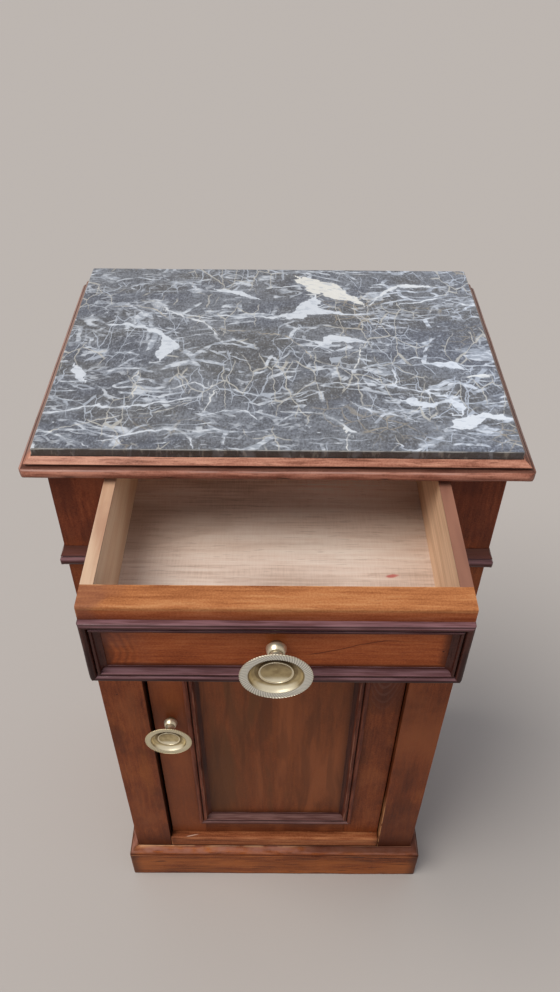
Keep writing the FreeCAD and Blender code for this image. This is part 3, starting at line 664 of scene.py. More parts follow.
plinth_projection = 0.012
plinth_fillet = 0.0014
ovolo_height = 0.0082
ovolo_top = foot_top - plinth_fillet
ovolo_base = ovolo_top - ovolo_height
ovolo_start = (plinth_projection - plinth_fillet, ovolo_base)
plinth_outline = np.concatenate(
    [
        [(0, 0), (plinth_projection, 0), (plinth_projection, ovolo_base)],
        hollow((plinth_fillet, ovolo_top), ovolo_start, 1)[::-1],
        [(plinth_fillet, foot_top), (0, foot_top)],
    ]
)
plinth_section = eased_section(plinth_outline, spacing=0.0006, ease=0.0006)
rubbed_heights = (0.054, 0.040)
floor_shade_height = 0.0045


def scuffed(place, colour):
    """The foot rubbed towards orange with dark knocks and dark corners, a painted pink sheen on the
    quarter round, painted shade on its right half, a pale fillet on the left that is worn and
    carries a painted highlight, and painted shade in a line under the moulding and along the floor."""
    across, up = place.part(0), place.part(2)
    low = up.step(*rubbed_heights) * noise(place, (9, 9, 60), 4).step(0.36, 0.60)
    colour = mix(low * 0.6, colour, (0.50, 0.150, 0.036))
    knocks = noise(place, (18, 18, 110), 4).step(0.60, 0.70)
    colour = mix(knocks * 0.6, colour, (0.055, 0.014, 0.008))
    corner = abs(across).step(half_width - 0.006, half_width + 0.010) * (0.5 + noise(place, 50) * 0.5)
    colour = mix(corner * 0.90, colour, (0.040, 0.011, 0.007))
    # Painted sheen: a pink reflection on the quarter round where it looks up.
    sheen = mark("upward")(place).step(0.08, 0.70) * up.step(ovolo_base - 0.001, ovolo_base + 0.002)
    sheen = sheen * noise(place, (60, 60, 200), 4).step(0.26, 0.66)
    colour = soiled_and_shaded(place, mix(sheen * 0.75, colour, (0.38, 0.170, 0.125)))
    # Painted shade: a broken dark line under the quarter round, and a dark band at the floor.
    line = up.band(ovolo_base - 0.0014, ovolo_base - 0.0002, ovolo_base + 0.0006, ovolo_base + 0.0022)
    line = line * noise(place, (14, 14, 90), 3).step(0.30, 0.56)
    colour = mix((line * 0.6).most(up.step(floor_shade_height, 0.0)) * 0.8, colour, (0.050, 0.014, 0.009))
    shaded = up.step(foot_top - 0.0060, foot_top - 0.0030) * across.step(0.010, 0.070)
    colour = mix(shaded * 0.75, colour, (0.090, 0.025, 0.014))
    # Pale fillet on the left: wear with a painted highlight.
    fillet = up.step(foot_top - 0.0020, foot_top - 0.0010)
    fillet = fillet * across.band(-half_width - 0.01, -half_width + 0.004, 0.020, 0.060)
    fillet = fillet * noise(place, (40, 40, 200), 3).step(0.40, 0.60)
    return mix(fillet * 0.85, colour, (0.72, 0.40, 0.21))


warm_walnut = ((0.066, 0.013, 0.004), (0.275, 0.067, 0.0165), (0.480, 0.147, 0.038))
foot_rubbed = (0.52, 0.25, 0.125)
plinth_woods = {
    grain: polished_wood(
        "walnut_plinth_" + grain, grain, 61, warm_walnut, mark("worn"), scuffed,
        lively=0.8, rubbed=foot_rubbed,
    )
    for grain in "xy"
}
wrap(
    "plinth", plinth_section, back_y, plinth_woods,
    seed=70, step=0.005, uneven=0.00018, corner=0.004,
)


# Strip under the door: the bottom rail with its rounded front edge, a plain walnut board tenoned
# into the stiles. The door and many shoes have worn it down to pale orange wood.

strip_low, strip_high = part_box("bottom_rail")
strip_start = Vector((-opening_half, strip_low.y, foot_top))
strip_end = Vector((opening_half, strip_high.y, strip_high.z))
strip_ease = 0.0034
rubbed_walnut = ((0.130, 0.032, 0.012), (0.340, 0.105, 0.041), (0.560, 0.225, 0.092))
scratch_middle = (-0.1143, strip_low.y + 0.0045)
scratch_half = (0.0100, 0.0010)
scratch_slant = 0.20


def scratched(place, colour):
    """One pale slanting scratch on the top, and dirt with painted shade where the strip meets the
    plinth and stiles.
    """
    across, along, up = (place.part(k) for k in range(3))
    ragged = noise(place, 400) * 0.7
    scratch = smear(across, along, scratch_middle, scratch_half, ragged, scratch_slant).step(1.3, 0.6)
    colour = mix(scratch * 0.85, colour, (0.66, 0.44, 0.33))
    # Dirt with painted shade at the foot of the strip and at its ends by the stiles.
    base = up.step(foot_top + 0.0072, foot_top + 0.0036)
    ends = abs(across).step(opening_half - 0.012, opening_half) * (0.3 + noise(place, 60) * 0.7)
    return mix(base.most(ends * 0.7) * 0.85, colour, (0.035, 0.009, 0.005))


strip_wood = polished_wood("walnut_strip", "x", 66, rubbed_walnut, mark("worn"), scratched, lively=0.6)
worn_board(
    "door_strip", strip_start, strip_end, strip_ease, 77, "carcase", "bottom_rail", strip_wood
)


# Top frame: a moulded walnut frame that holds the marble, mitred at the front and open at the back.
# A flat band slopes from the stone to a deep quirk, and a stout round bead runs below it.

frame_low, frame_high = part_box("top_frame_front")
marble_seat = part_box("top_board")[1].z
frame_projection = 0.0182
frame_bead = 0.005
quirk_width = 0.0027
quirk_depth = 0.0022
lip = 0.0066
bead_out = frame_projection - frame_bead
quirk_base = frame_low.z + 2 * frame_bead
frame_outline = np.concatenate(
    [
        [(0, frame_low.z)],
        turned_arc((bead_out, frame_low.z + frame_bead), frame_bead, -90, 90),
        [(bead_out - quirk_depth, quirk_base)],
        [(bead_out - quirk_depth, quirk_base + 0.4 * quirk_width)],
        [(bead_out, quirk_base + quirk_width)],
        [(lip, frame_high.z), (lip, marble_seat), (0, marble_seat)],
    ]
)
frame_section = eased_section(frame_outline, spacing=0.0005, ease=0.00045)
nick_places = (-0.088, 0.004, 0.086, -0.168)
nick_length = 0.0035
nick_depth = 0.0011


def nick_frame(points, marks):
    """Knocks on the round bead: short dips along X, deepest on the underside of its nose."""
    nose = np.clip((face_y - bead_out - points[:, 1]) / frame_bead, 0, 1)
    nose *= points[:, 2] < frame_low.z + frame_bead
    for place in nick_places:
        dip = np.exp(-((points[:, 0] - place) / nick_length) ** 2) * nose
        points[:, 1] += nick_depth * dip
        marks["dirt"][:] = np.maximum(marks["dirt"], dip)


def framed(place, colour):
    """Black polish and painted shade in the quirk and the dents, a light line of wear and painted
    highlight on the shoulder of the bead, which is a little darker than the band and has painted
    shade on its underside, and dust that greys the sides from the mitres on."""
    up = place.part(2)
    lower = up.step(quirk_base + 0.001, quirk_base - 0.002)
    colour = mix(lower * 0.8, colour, (0.72, 0.62, 0.62), "MULTIPLY")
    dusty = place.part(1).step(frame_low.y + 0.012, frame_low.y + 0.030)
    colour = mix(dusty * 0.75, colour, (0.235, 0.165, 0.145))
    # Wear with a painted highlight: a light line on the shoulder of the bead.
    shoulder = up.band(quirk_base - 0.0020, quirk_base - 0.0013, quirk_base - 0.0011, quirk_base - 0.0007)
    shoulder = shoulder * noise(place, (20, 20, 90), 3).step(0.32, 0.56)
    colour = mix(shoulder * 0.65, colour, (0.500, 0.300, 0.255))
    # Painted shade on the underside of the bead.
    under = up.step(frame_low.z + 0.0065, frame_low.z + 0.0010)
    colour = mix(under * 0.55, colour, (0.140, 0.045, 0.028))
    # Black polish with painted shade in the quirk.
    quirk = up.band(quirk_base - 0.0010, quirk_base - 0.0005, quirk_base + 0.0004, quirk_base + 0.0013)
    return mix(quirk * 0.78, soiled_and_shaded(place, colour), (0.042, 0.013, 0.010))


rosy_walnut = ((0.150, 0.050, 0.028), (0.435, 0.178, 0.116), (0.680, 0.330, 0.225))
frame_woods = {
    grain: polished_wood(
        "walnut_frame_" + grain, grain, 81, rosy_walnut, mark("worn"), framed, lively=1.0, shine=0.12
    )
    for grain in "xy"
}
wrap(
    "top_frame", frame_section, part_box("top_frame_left")[1].y, frame_woods,
    seed=90, step=0.004, uneven=0.00012, corner=0.011, nick=nick_frame,
)


# Marble slab: dark grey marble with flowing white veins, pale clouds and rusty threads, sawn 15 mm
# thick, honed on top and laid loose in the frame. Its arrises are chipped, most at the front left.

marble_low, marble_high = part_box("marble_top")
marble_ease = 0.0012
marble_step = 0.0022
chip_depth = 0.0011
chip_wavelength = 0.022
corner_chip = 0.006
honing = 0.00005
honing_wavelength = 0.12
points, faces, outward, arris = eased_board(marble_low, marble_high, marble_ease, marble_step)
chipping = np.clip(ripple(points, chip_wavelength, 101) - 0.9, 0, 1) * arris
corner_away = np.linalg.norm(points - [marble_low.x, marble_low.y, marble_high.z], axis=1)
chipping = np.clip(chipping + 1.2 * np.exp(-(corner_away / corner_chip) ** 2) * arris, 0, 1.4)
sunk = chip_depth * chipping + honing * np.clip(2 + ripple(points, honing_wavelength, 102), 0, 4)
points = points - outward * sunk[:, None]

# The main veins and white pools, each a line through a few places: first its tint, from 0 for white
# to 1 for rust, then X, Y and half width, in millimetres from the middle of the slab.
veins = (
    (0.0, (-198, -103, 0.9), (-168, -99, 0.8), (-152, -92, 1.3), (-127, -95, 1.0), (-98, -86, 0.9),
     (-58, -76, 0.3)),
    (0.0, (-142, -139, 0.5), (-114, -128, 0.6), (-85, -122, 1.1), (-73, -130, 0.9), (-69, -143, 0.4)),
    (0.0, (-198, -125, 0.6), (-178, -136, 0.8), (-156, -146, 0.4)),
    (0.0, (-71, -109, 0.3), (-46, -99, 0.5), (-29, -98, 0.7), (-18, -109, 0.3)),
    (0.1, (-97, -69, 0.3), (-73, -57, 0.6), (-65, -66, 0.7), (-41, -70, 0.3)),
    (0.1, (4, -99, 0.4), (36, -103, 0.5), (50, -112, 0.7), (60, -125, 1.5), (68, -128, 0.4)),
    (0.0, (67, -89, 0.4), (78, -99, 0.9), (97, -101, 0.7), (113, -109, 0.4)),
    (0.0, (60, -61, 1.1), (71, -57, 0.7), (89, -58, 0.6), (104, -60, 0.9), (119, -66, 0.5), (131, -72, 0.8)),
    (0.0, (-164, 38, 0.8), (-145, 40, 2.4), (-124, 30, 2.4), (-111, 20, 3.0), (-102, 2, 7.5),
     (-105, -12, 6.5)),
    (0.1, (-120, 82, 0.6), (-107, 66, 0.8), (-90, 51, 0.7), (-72, 44, 1.0), (-61, 29, 1.1), (-56, 15, 1.0)),
    (0.0, (-61, 57, 1.0), (-29, 53, 0.7), (-1, 53, 1.6), (18, 58, 6.5), (29, 69, 11.0), (36, 88, 5.0)),
    (0.0, (29, 69, 9.0), (40, 66, 7.5), (53, 61, 3.0), (65, 59, 1.2), (88, 60, 0.4)),
    (0.5, (25, 129, 5.0), (42, 113, 12.5), (62, 99, 11.5), (74, 90, 6.5), (83, 82, 2.0)),
    (0.2, (91, 78, 0.6), (100, 94, 0.8), (111, 109, 1.8), (125, 116, 3.6), (154, 115, 2.4)),
    (0.1, (123, 80, 0.4), (142, 86, 0.7), (163, 94, 0.6), (183, 80, 0.4)),
    (0.1, (151, 66, 0.4), (157, 76, 0.7), (196, 80, 0.6)),
    (0.0, (40, 5, 4.5), (51, 15, 6.0), (65, 13, 5.5), (81, 10, 1.8)),
    (0.0, (-180, -40, 4.5), (-175, -49, 5.0)),
    (0.0, (142, -25, 1.6), (155, -27, 6.5), (166, -32, 1.6)),
    (0.0, (115, -84, 4.0), (131, -89, 4.0), (140, -86, 1.4), (150, -79, 2.8), (154, -91, 5.5)),
    (0.0, (150, -80, 1.4), (140, -74, 1.8), (129, -69, 0.8), (141, -63, 1.0), (159, -57, 1.8),
     (174, -64, 1.2)),
    (0.1, (143, -119, 1.6), (153, -114, 7.5), (163, -110, 5.5), (174, -103, 3.2), (194, -106, 2.6)),
    (0.0, (-8, -50, 1.0), (2, -44, 2.6), (14, -40, 0.6)),
    (0.0, (104, -36, 1.2), (105, -60, 0.7)),
    (0.3, (170, -47, 1.2), (186, -44, 2.2)),
    (0.0, (-61, 106, 1.6), (-40, 98, 3.4), (-24, 90, 1.2)),
    (0.9, (-4, 22, 0.4), (10, 15, 0.5), (22, 1, 0.5), (28, -14, 0.4)),
    (1.0, (-57, 33, 0.5), (-38, 29, 0.5), (5, 18, 0.5)),
    (0.8, (-165, 70, 0.3), (-140, 72, 0.3), (-120, 66, 0.4), (-112, 55, 0.4)),
    (0.7, (-185, -128, 0.3), (-152, -112, 0.3), (-100, -100, 0.3), (-78, -88, 0.2)),
    (0.4, (76, 6, 0.4), (75, -14, 0.6), (69, -35, 0.5)),
    (0.4, (54, -121, 0.2), (57, -138, 0.4), (59, -150, 0.4)),
    (0.3, (-57, -62, 0.4), (-57, -83, 0.4), (-62, -98, 0.2)),
    (0.6, (-127, -42, 0.3), (-131, -52, 0.3), (-123, -66, 0.3), (-126, -80, 0.2)),
)
middle = np.array([(marble_low.x + marble_high.x) / 2, (marble_low.y + marble_high.y) / 2])
flat = points[:, :2] - middle
clear = np.ones(len(points))
beside = np.ones(len(points))
thickness = np.zeros(len(points))
tints = np.zeros(len(points))
for tint, *stops in veins:
    stops = np.array(stops) / 1000
    for start, end in zip(stops[:-1], stops[1:]):
        leg = (end - start)[:2]
        away = flat - start[:2]
        share = np.clip(away @ leg / (leg @ leg), 0, 1)
        distance = np.linalg.norm(away - share[:, None] * leg, axis=1)
        half = start[2] + share * (end[2] - start[2])
        closer = distance - half < clear
        turning = np.sign(leg[0] * away[:, 1] - leg[1] * away[:, 0])
        clear = np.where(closer, distance - half, clear)
        beside = np.where(closer, distance * turning, beside)
        thickness = np.where(closer, half, thickness)
        tints = np.where(closer, tint, tints)

marble, place = finish("veined_marble")


def drift(wavelength, size, seed, detail=1.5):
    """Wandering of a pattern: a cloud of that wavelength about zero, size metres across."""
    cloud = noise(stretched(place, (1.0, 1.0, 1.0), shift=(seed, 3 * seed, 0.0)), 1 / wavelength, detail)
    return (cloud - 0.5) * size


flow_x = place.part(0) + drift(0.060, 0.022, 1.0)
flow_y = place.part(1) + drift(0.140, 0.060, 2.0) + drift(0.050, 0.012, 3.0)
flow = place.node("CombineXYZ", {}, {0: flow_x, 1: flow_y, 2: place.part(2)})
crackle_x = flow_x + drift(0.014, 0.008, 4.0, 3.0)
crackle_y = flow_y + drift(0.014, 0.006, 5.0, 3.0)
crackle = place.node("CombineXYZ", {}, {0: crackle_x, 1: crackle_y, 2: 0.0})


def border(scale, seed):
    """Distance, in cells, from the border of stretched wandering cells."""
    sockets = {"Vector": stretched(crackle, scale, shift=(seed, 2 * seed, 0.0)), "Scale": 1.0}
    return flow.node("TexVoronoi", {"feature": "DISTANCE_TO_EDGE"}, sockets)


def patches(scale, low, high, seed):
    """Places where a pattern shows, from 0 to 1."""
    return noise(flow, scale, 4, shift=(seed, seed, 0.0)).step(low, high)


def lines(cells, seed, outer, inner, clumps, low, high, clump_seed):
    """Borders of wandering cells that fade from inner to outer and show only in patches."""
    return border(cells, seed).step(outer, inner) * patches(clumps, low, high, clump_seed)


def thread(scale, width, seed):
    """Thin wandering lines: where a cloud passes through its middle value."""
    cloud = noise(crackle, scale, 2.5, shift=(seed, 3 * seed, 0.0))
    return abs(cloud - 0.5).step(width, width * 0.45)


slate = (0.136, 0.148, 0.182)
soot = (0.070, 0.074, 0.086)
olive = (0.136, 0.136, 0.140)
cloud_grey = (0.205, 0.219, 0.250)
mist = (0.270, 0.290, 0.335)
chalk = (0.500, 0.545, 0.620)
snow = (0.730, 0.770, 0.830)
cream = (0.830, 0.815, 0.765)
tan = (0.580, 0.560, 0.510)
rust = (0.420, 0.360, 0.275)

# The ground: slate and olive grey with pale clouds, dark and pale streaks, and a fine grain.
ground = mix(patches((10, 16, 10), 0.42, 0.58, 3.0), slate, olive)
ground = mix(patches((9, 24, 9), 0.48, 0.60, 51.0) * 0.75, ground, cloud_grey)
streaks = noise(flow, (40, 150, 40), 5)
ground = mix(streaks.step(0.50, 0.36) * 0.30, ground, soot)
ground = mix(streaks.step(0.53, 0.68) * 0.22, ground, mist)
grain = noise(place, (620, 400, 620), 2)
ground = mix(grain.step(0.48, 0.36) * 0.60, ground, soot)
ground = mix(grain.step(0.53, 0.66) * 0.65, ground, mist)

# The net of white lines, threads, flecks and small pools, then cracks filled with chalk, tan and rust.
lens = border((17, 36, 17), 1.0)
haze = lens.step(0.14, 0.02) * patches((12, 20, 12), 0.48, 0.60, 5.0)
lens_lines = lens.step(0.040, 0.024) * patches((20, 34, 20), 0.50, 0.55, 9.0)
small_lines = lines((30, 66, 30), 4.0, 0.056, 0.032, (24, 40, 24), 0.55, 0.61, 14.0)
tiny_lines = lines((70, 130, 70), 8.0, 0.110, 0.060, (22, 34, 22), 0.55, 0.62, 43.0)
threads = thread((11, 34, 11), 0.016, 2.0) * patches((15, 24, 15), 0.51, 0.57, 25.0)
flecks = noise(crackle, (46, 140, 46), 5, shift=(2.0, 9.0, 0.0)).step(0.650, 0.665)
flecks = flecks * patches((16, 26, 16), 0.47, 0.57, 27.0)
chips = noise(crackle, (130, 300, 130), 4, shift=(5.0, 4.0, 0.0)).step(0.620, 0.650)
chips = chips * patches((26, 40, 26), 0.46, 0.58, 41.0)
lakes = noise(crackle, (12, 30, 12), 7, shift=(6.0, 1.0, 0.0)).step(0.640, 0.656)
fine = noise(flow, (140, 260, 140), 5, shift=(8.0, 5.0, 0.0))
ground = mix(haze * (0.05 + fine.step(0.40, 0.60) * 0.14), ground, chalk)
white = (lens_lines * 0.85).most(small_lines * 0.70).most(tiny_lines * 0.50).most(threads * 0.80)
white = white.most(flecks * 0.80).most(chips * 0.45).most(lakes * 0.80)
white = white * (0.65 + fine.step(0.38, 0.58) * 0.35)
colour = mix(white, ground, mix(fine.step(0.42, 0.62), chalk, snow))
cracks = lines((46, 22, 46), 7.0, 0.021, 0.011, (16, 16, 16), 0.49, 0.55, 17.0)
splits = lines((62, 26, 62), 15.0, 0.024, 0.013, (15, 15, 15), 0.50, 0.55, 47.0)
rusty = lines((52, 66, 52), 12.0, 0.036, 0.016, (9, 9, 9), 0.54, 0.63, 33.0)
colour = mix(splits * 0.75, colour, chalk)
colour = mix(cracks * 0.70, colour, tan)
colour = mix(rusty * 0.55, colour, rust)

# The main veins: their edges wander and tear, and a smoke of chalk lies round them.
wiggle = drift(0.024, 0.012, 6.0) + drift(0.007, 0.0050, 7.0)
half = mark("vein_half")(place)
torn = (noise(flow, (75, 120, 75), 6, shift=(1.0, 4.0, 0.0)) - 0.5) * 4.5
outside = abs(mark("vein_beside")(place) + wiggle) - half - torn * half.least(0.0030)
near = mark("vein_clear")(place).step(0.0085, 0.0050)
smoke = outside.step(0.0050, 0.0) * near * (0.05 + fine.step(0.40, 0.62) * 0.22)
colour = mix(smoke, colour, chalk)
tint = ramp(mark("vein_tint")(place), (0.0, snow), (0.5, cream), (1.0, rust))
tint = mix(fine.step(0.47, 0.36) * 0.55, tint, chalk)
broken = (half * 400.0).least(1.0).most(patches((40, 60, 40), 0.36, 0.52, 31.0))
colour = mix(outside.step(0.0006, -0.0003) * near * broken * 0.94, colour, tint)

# A lighter right end, grime and knocks on the front edge, chips and bruises along the arrises.
colour = mix(place.part(0).step(0.02, 0.20), colour, (1.10, 1.13, 1.18), "MULTIPLY")
edge = place.part(1).step(marble_low.y + 0.0012, marble_low.y + 0.0003)
knocked = noise(place, (260, 260, 90), 3).step(0.56, 0.68)
grime = mix(knocked * 0.5, (0.072, 0.056, 0.042), (0.360, 0.320, 0.260))
colour = mix(edge * (0.60 + noise(place, 60, 4) * 0.4), colour, grime)
colour = mix((mark("chipped")(place) * 1.2).least(1.0), colour, (0.50, 0.46, 0.40))
bruised = mark("arris")(place) * noise(place, 70, 4).step(0.34, 0.54)
colour = mix(bruised * 0.75, colour, (0.50, 0.49, 0.47))
pits = noise(place, 900, 2).step(0.66, 0.74)
coat(
    marble,
    Base_Color=colour,
    Roughness=0.30 + noise(place, 40, 4) * 0.16 + pits * 0.1,
    Specular_IOR_Level=0.4,
    Normal=bump(noise(place, 220, 3) - pits * 0.5, 0.00012, 0.35),
)
marble_marks = {
    "vein_beside": beside,
    "vein_clear": clear,
    "vein_half": thickness,
    "vein_tint": tints,
    "chipped": np.clip(chipping, 0, 1),
    "arris": arris,
}
place_piece("marble_slab", points, faces, "carcase", "marble_top", marble, marble_marks)


# Drawer box: pale beech sides and back, dovetailed, with a wide poplar bottom let into grooves. The
# wood is bare inside and a little stained, with its grain from side to side in the bottom. The left
# side is painted paler than the right, as painted light on its inner face.

beech_pale = (0.90, 0.62, 0.41)
beech_brown = (0.66, 0.41, 0.245)
painted_lit_pale = (1.00, 0.78, 0.55)
painted_lit_brown = (0.86, 0.59, 0.38)
side_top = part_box("drawer_side_left")[1].z


def handled(place, colour):
    """The upper edges of the sides, darkened pinkish brown by hands and rubbed by the rails."""
    top = place.part(2).step(side_top - 0.0012, side_top - 0.0004)
    stain = noise(place, (60, 11, 60), 4).step(0.36, 0.64)
    right = place.part(0).step(-0.02, 0.02)
    colour = mix(top, colour, (0.74, 0.66, 0.64), "MULTIPLY")
    colour = mix(top * right * 0.95, colour, (0.240, 0.095, 0.062))
    lip = place.part(2).step(side_top - 0.0030, side_top - 0.0014) * (1.0 - top)
    colour = mix(lip * 0.35, colour, (0.25, 0.13, 0.08))
    return mix(top * stain * 0.55, colour, (0.38, 0.17, 0.105))


# Painted light: the left side is given paler colours than the right.
dress(plain_wood("beech_side_left", "y", 5, painted_lit_pale, painted_lit_brown, handled), "drawer_side_left")
dress(plain_wood("beech_side_right", "y", 6, beech_pale, beech_brown, handled), "drawer_side_right")
dress(plain_wood("beech_back", "x", 7, beech_pale, beech_brown), "drawer_back")

poplar, place = finish("poplar_bottom")
across, along = place.part(0), place.part(1)
lie = laid(place, "x", 8)
streaks = noise(lie, (3, 40, 40), 5, 0.3)
fibres = noise(lie, (16, 420, 420), 4)
tide = noise(lie, (6, 13, 13), 4)
scrub = noise(lie, (700, 60, 60), 2)
tone = streaks * 0.40 + fibres * 0.80 + tide * 1.3 + scrub * 0.25 - 0.90
colour = ramp(tone, (0.14, (0.52, 0.37, 0.28)), (0.46, (0.83, 0.65, 0.535)), (0.80, (0.95, 0.82, 0.71)))
stains = noise(lie, (7, 30, 30), 6, 0.8, shift=(3.0, 0.0, 5.0))
colour = mix(stains.step(0.50, 0.64) * 0.35, colour, (0.56, 0.40, 0.31))
dashes = noise(lie, (60, 620, 620), 2).step(0.60, 0.70)
colour = mix(dashes * 0.30, colour, (0.40, 0.265, 0.195))

# Painted light and shade on the bottom: darker in a band across the middle, at the front and at both ends,
# and lighter at the back.
painted_shading = (
    (along.band(-0.105, -0.075, -0.030, 0.000), (0.83, 0.80, 0.78)),
    (along.step(-0.070, -0.110), (0.92, 0.92, 0.93)),
    (across.step(0.070, 0.135) * 0.8, (0.80, 0.78, 0.76)),
    (across.step(-0.085, -0.130) * 0.5, (0.84, 0.80, 0.76)),
    (along.step(-0.040, 0.010), (1.25, 1.27, 1.32)),
)
for where, tint in painted_shading:
    colour = mix(where, colour, tint, "MULTIPLY")
smudge_middle = (0.0970, -0.1118)
smudge_half = (0.0065, 0.0024)
smudge_slant = 0.15
ragged = noise(place, 300) * 0.8
smudge = smear(across, along, smudge_middle, smudge_half, ragged, smudge_slant).step(1.5, 0.5)
colour = mix(smudge * 0.8, colour, (0.50, 0.08, 0.07))
coat(poplar, Base_Color=colour, Roughness=0.6 + fibres * 0.15, Normal=bump(fibres, 0.0002, 0.4))
dress(poplar, "drawer_bottom")


# Drawer front: one thick walnut board, dovetailed to the sides, its top edge rounded over and
# polished orange-brown. A dark line of heart grain runs across its face on the right.

front_low, front_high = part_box("drawer_front")
amber = ((0.250, 0.072, 0.023), (0.500, 0.185, 0.066), (0.680, 0.330, 0.140))
field_low = front_low.z + 0.0145
field_high = front_high.z - 0.0170
field_half = front_high.x - 0.0145
streak_middle = 0.030
streak_rise = 0.0085
streak_level = front_low.z + 0.0370
flame_x = -0.148
flame_z = front_low.z + 0.030
front_wear = 0.0012


def heart_line(place, colour):
    """The top edge turning darker as it rounds over, the field below it, darkened by painted shade
    towards its borders, with a wavy dark line of grain on the right, arched flames at the left, and
    a purple bruise there."""
    across, up = place.part(0), place.part(2)
    round_over = up.step(front_high.z - 0.0025, front_high.z - 0.0050)
    colour = mix(round_over, colour, (0.92, 0.70, 0.66), "MULTIPLY")
    field = up.step(field_high + 0.0015, field_high - 0.0005)
    brow = up.step(front_high.z - 0.0050, front_high.z - 0.0110) * (1.0 - field)
    colour = mix(brow, colour, (0.74, 0.67, 0.76), "MULTIPLY")
    colour = mix(field, colour, (0.84, 0.71, 0.60), "MULTIPLY")
    # Painted shade: the field darker near the mouldings round it.
    reach = (field_half - abs(across)).least((up - field_low) * 2.0).least(field_high - up)
    colour = mix(field * reach.step(0.008, 0.0005) * 0.75, colour, (0.060, 0.014, 0.007))
    wave = ((across - streak_middle - 0.020) * 45.0).sine() * streak_rise
    line = abs(up - streak_level - wave + (noise(place, 60) - 0.5) * 0.004).step(0.0010, 0.0)
    line = line * across.band(streak_middle - 0.010, streak_middle, 0.075, 0.105)
    colour = mix(line * field * 0.75, colour, (0.055, 0.012, 0.006))
    east = across - flame_x
    rise = (up - flame_z) * 0.8
    square = east * east + rise * rise
    ring = ((square.root() + (noise(place, 45) - 0.5) * 0.010) * 1250.0).sine() * 0.5 + 0.5
    flame = ring * square.step(0.00260, 0.00130) * field
    colour = mix(flame * 0.40, colour, (0.085, 0.020, 0.010))
    bruise = noise(place, 26, 3).step(0.42, 0.60) * across.step(-0.085, -0.120)
    return mix(bruise * 0.45, colour, (0.22, 0.085, 0.060))


front_worn = near_arris("drawer_front", front_wear)
front_wood = polished_wood(
    "walnut_drawer_front", "x", 91, amber, front_worn, heart_line, figure=26.0, lively=0.5
)
dress(front_wood, "drawer_front")


# Mouldings on the drawer front: four mitred strips with a bead outside, a quirk, a fillet and a
# hollow, glued round the panel and stained almost black-purple under a glassy polish.

drawer_moulding_width = 0.0145
moulding_projection = 0.0065
moulding_bead = 0.006
moulding_quirk = 0.0012
moulding_quirk_floor = 0.0021
moulding_fillet_height = 0.0052
moulding_cove_height = 0.0024
moulding_edge = 0.0008
drawer_moulding_fillet = 0.0022


def panel_section(width, fillet, sink):
    """Section of a panel moulding as distance in from its outer edge and height above the wood it
    is planted on: bead, quirk, fillet and hollow. Its inner edge reaches down by the sink."""
    shoulder = moulding_projection - moulding_bead / 2
    fillet_in = moulding_bead + moulding_quirk
    fillet_end = fillet_in + fillet
    outline = np.concatenate(
        [
            [(0, 0)],
            turned_arc((moulding_bead / 2, shoulder), moulding_bead / 2, 180, 0),
            [(moulding_bead, moulding_quirk_floor), (fillet_in, moulding_quirk_floor)],
            [(fillet_in, moulding_fillet_height), (fillet_end, moulding_fillet_height)],
            hollow((fillet_end, moulding_cove_height), (width - moulding_edge, moulding_edge - sink), 0),
            [(width, moulding_edge - sink), (width, -sink)],
        ]
    )
    if sink > 0:
        outline = np.concatenate([outline, [(width / 2, -sink), (width / 2, 0)]])
    return eased_section(outline, spacing=0.0004, ease=0.00032)


panel_step = 0.004
panel_waves = 0.00010


def panel_moulding(name, section, low, high, planted_y, body, woods, seed, corner=0.0):
    """Top, bottom, left and right members round a panel, mitred at their corners. With a corner
    radius, the lower corners are rounded."""
    runs = {
        "top": ("x", (0, planted_y, high.z), (1, 0, 0), (0, 0, -1), low.x, high.x),
        "bottom": ("x", (0, planted_y, low.z), (1, 0, 0), (0, 0, 1), low.x, high.x),
        "left": ("z", (low.x, planted_y, 0), (0, 0, 1), (1, 0, 0), low.z, high.z),
        "right": ("z", (high.x, planted_y, 0), (0, 0, 1), (-1, 0, 0), low.z, high.z),
    }
    for index, (side, (grain, origin, along, inwards, start, end)) in enumerate(runs.items()):
        points, faces, marks = moulded_strip(
            section, origin, along, inwards, (0, -1, 0), start, end, (-1, -1),
            panel_step, seed + 5 * index, panel_waves,
        )
        if corner:
            for hand, edge_x in ((-1, low.x), (1, high.x)):
                middle = np.array([edge_x - hand * corner, low.z + corner])
                draw_in(points, 0, 2, middle, np.array([hand, -1]), corner)
        strip, stands_for = name + "_strip_" + side, name + "_" + side
        place_piece(strip, points, faces, body, stands_for, woods[grain], marks)


front_middle = (front_low.z + front_high.z) / 2


def lined(place, colour):
    """The painted sheen, with a black line of painted shade along the bead of the drawer's top strip,
    and black painted shade instead of sheen low on the bead of its bottom strip."""
    inner, up = mark("inner")(place), place.part(2)
    upper = up.step(front_middle - 0.005, front_middle + 0.005)
    # Painted shade: a black line along the top strip's bead, standing for a shaded quirk, and black low on
    # the bottom strip's bead.
    line = inner.band(0.020, 0.034, 0.082, 0.100) * upper
    crown = inner.step(0.38, 0.28) * (1.0 - upper) * up.step(front_low.z - 0.020, front_low.z - 0.010)
    return mix(line.most(crown) * 0.80, painted_sheen(place, colour), plum_dark)


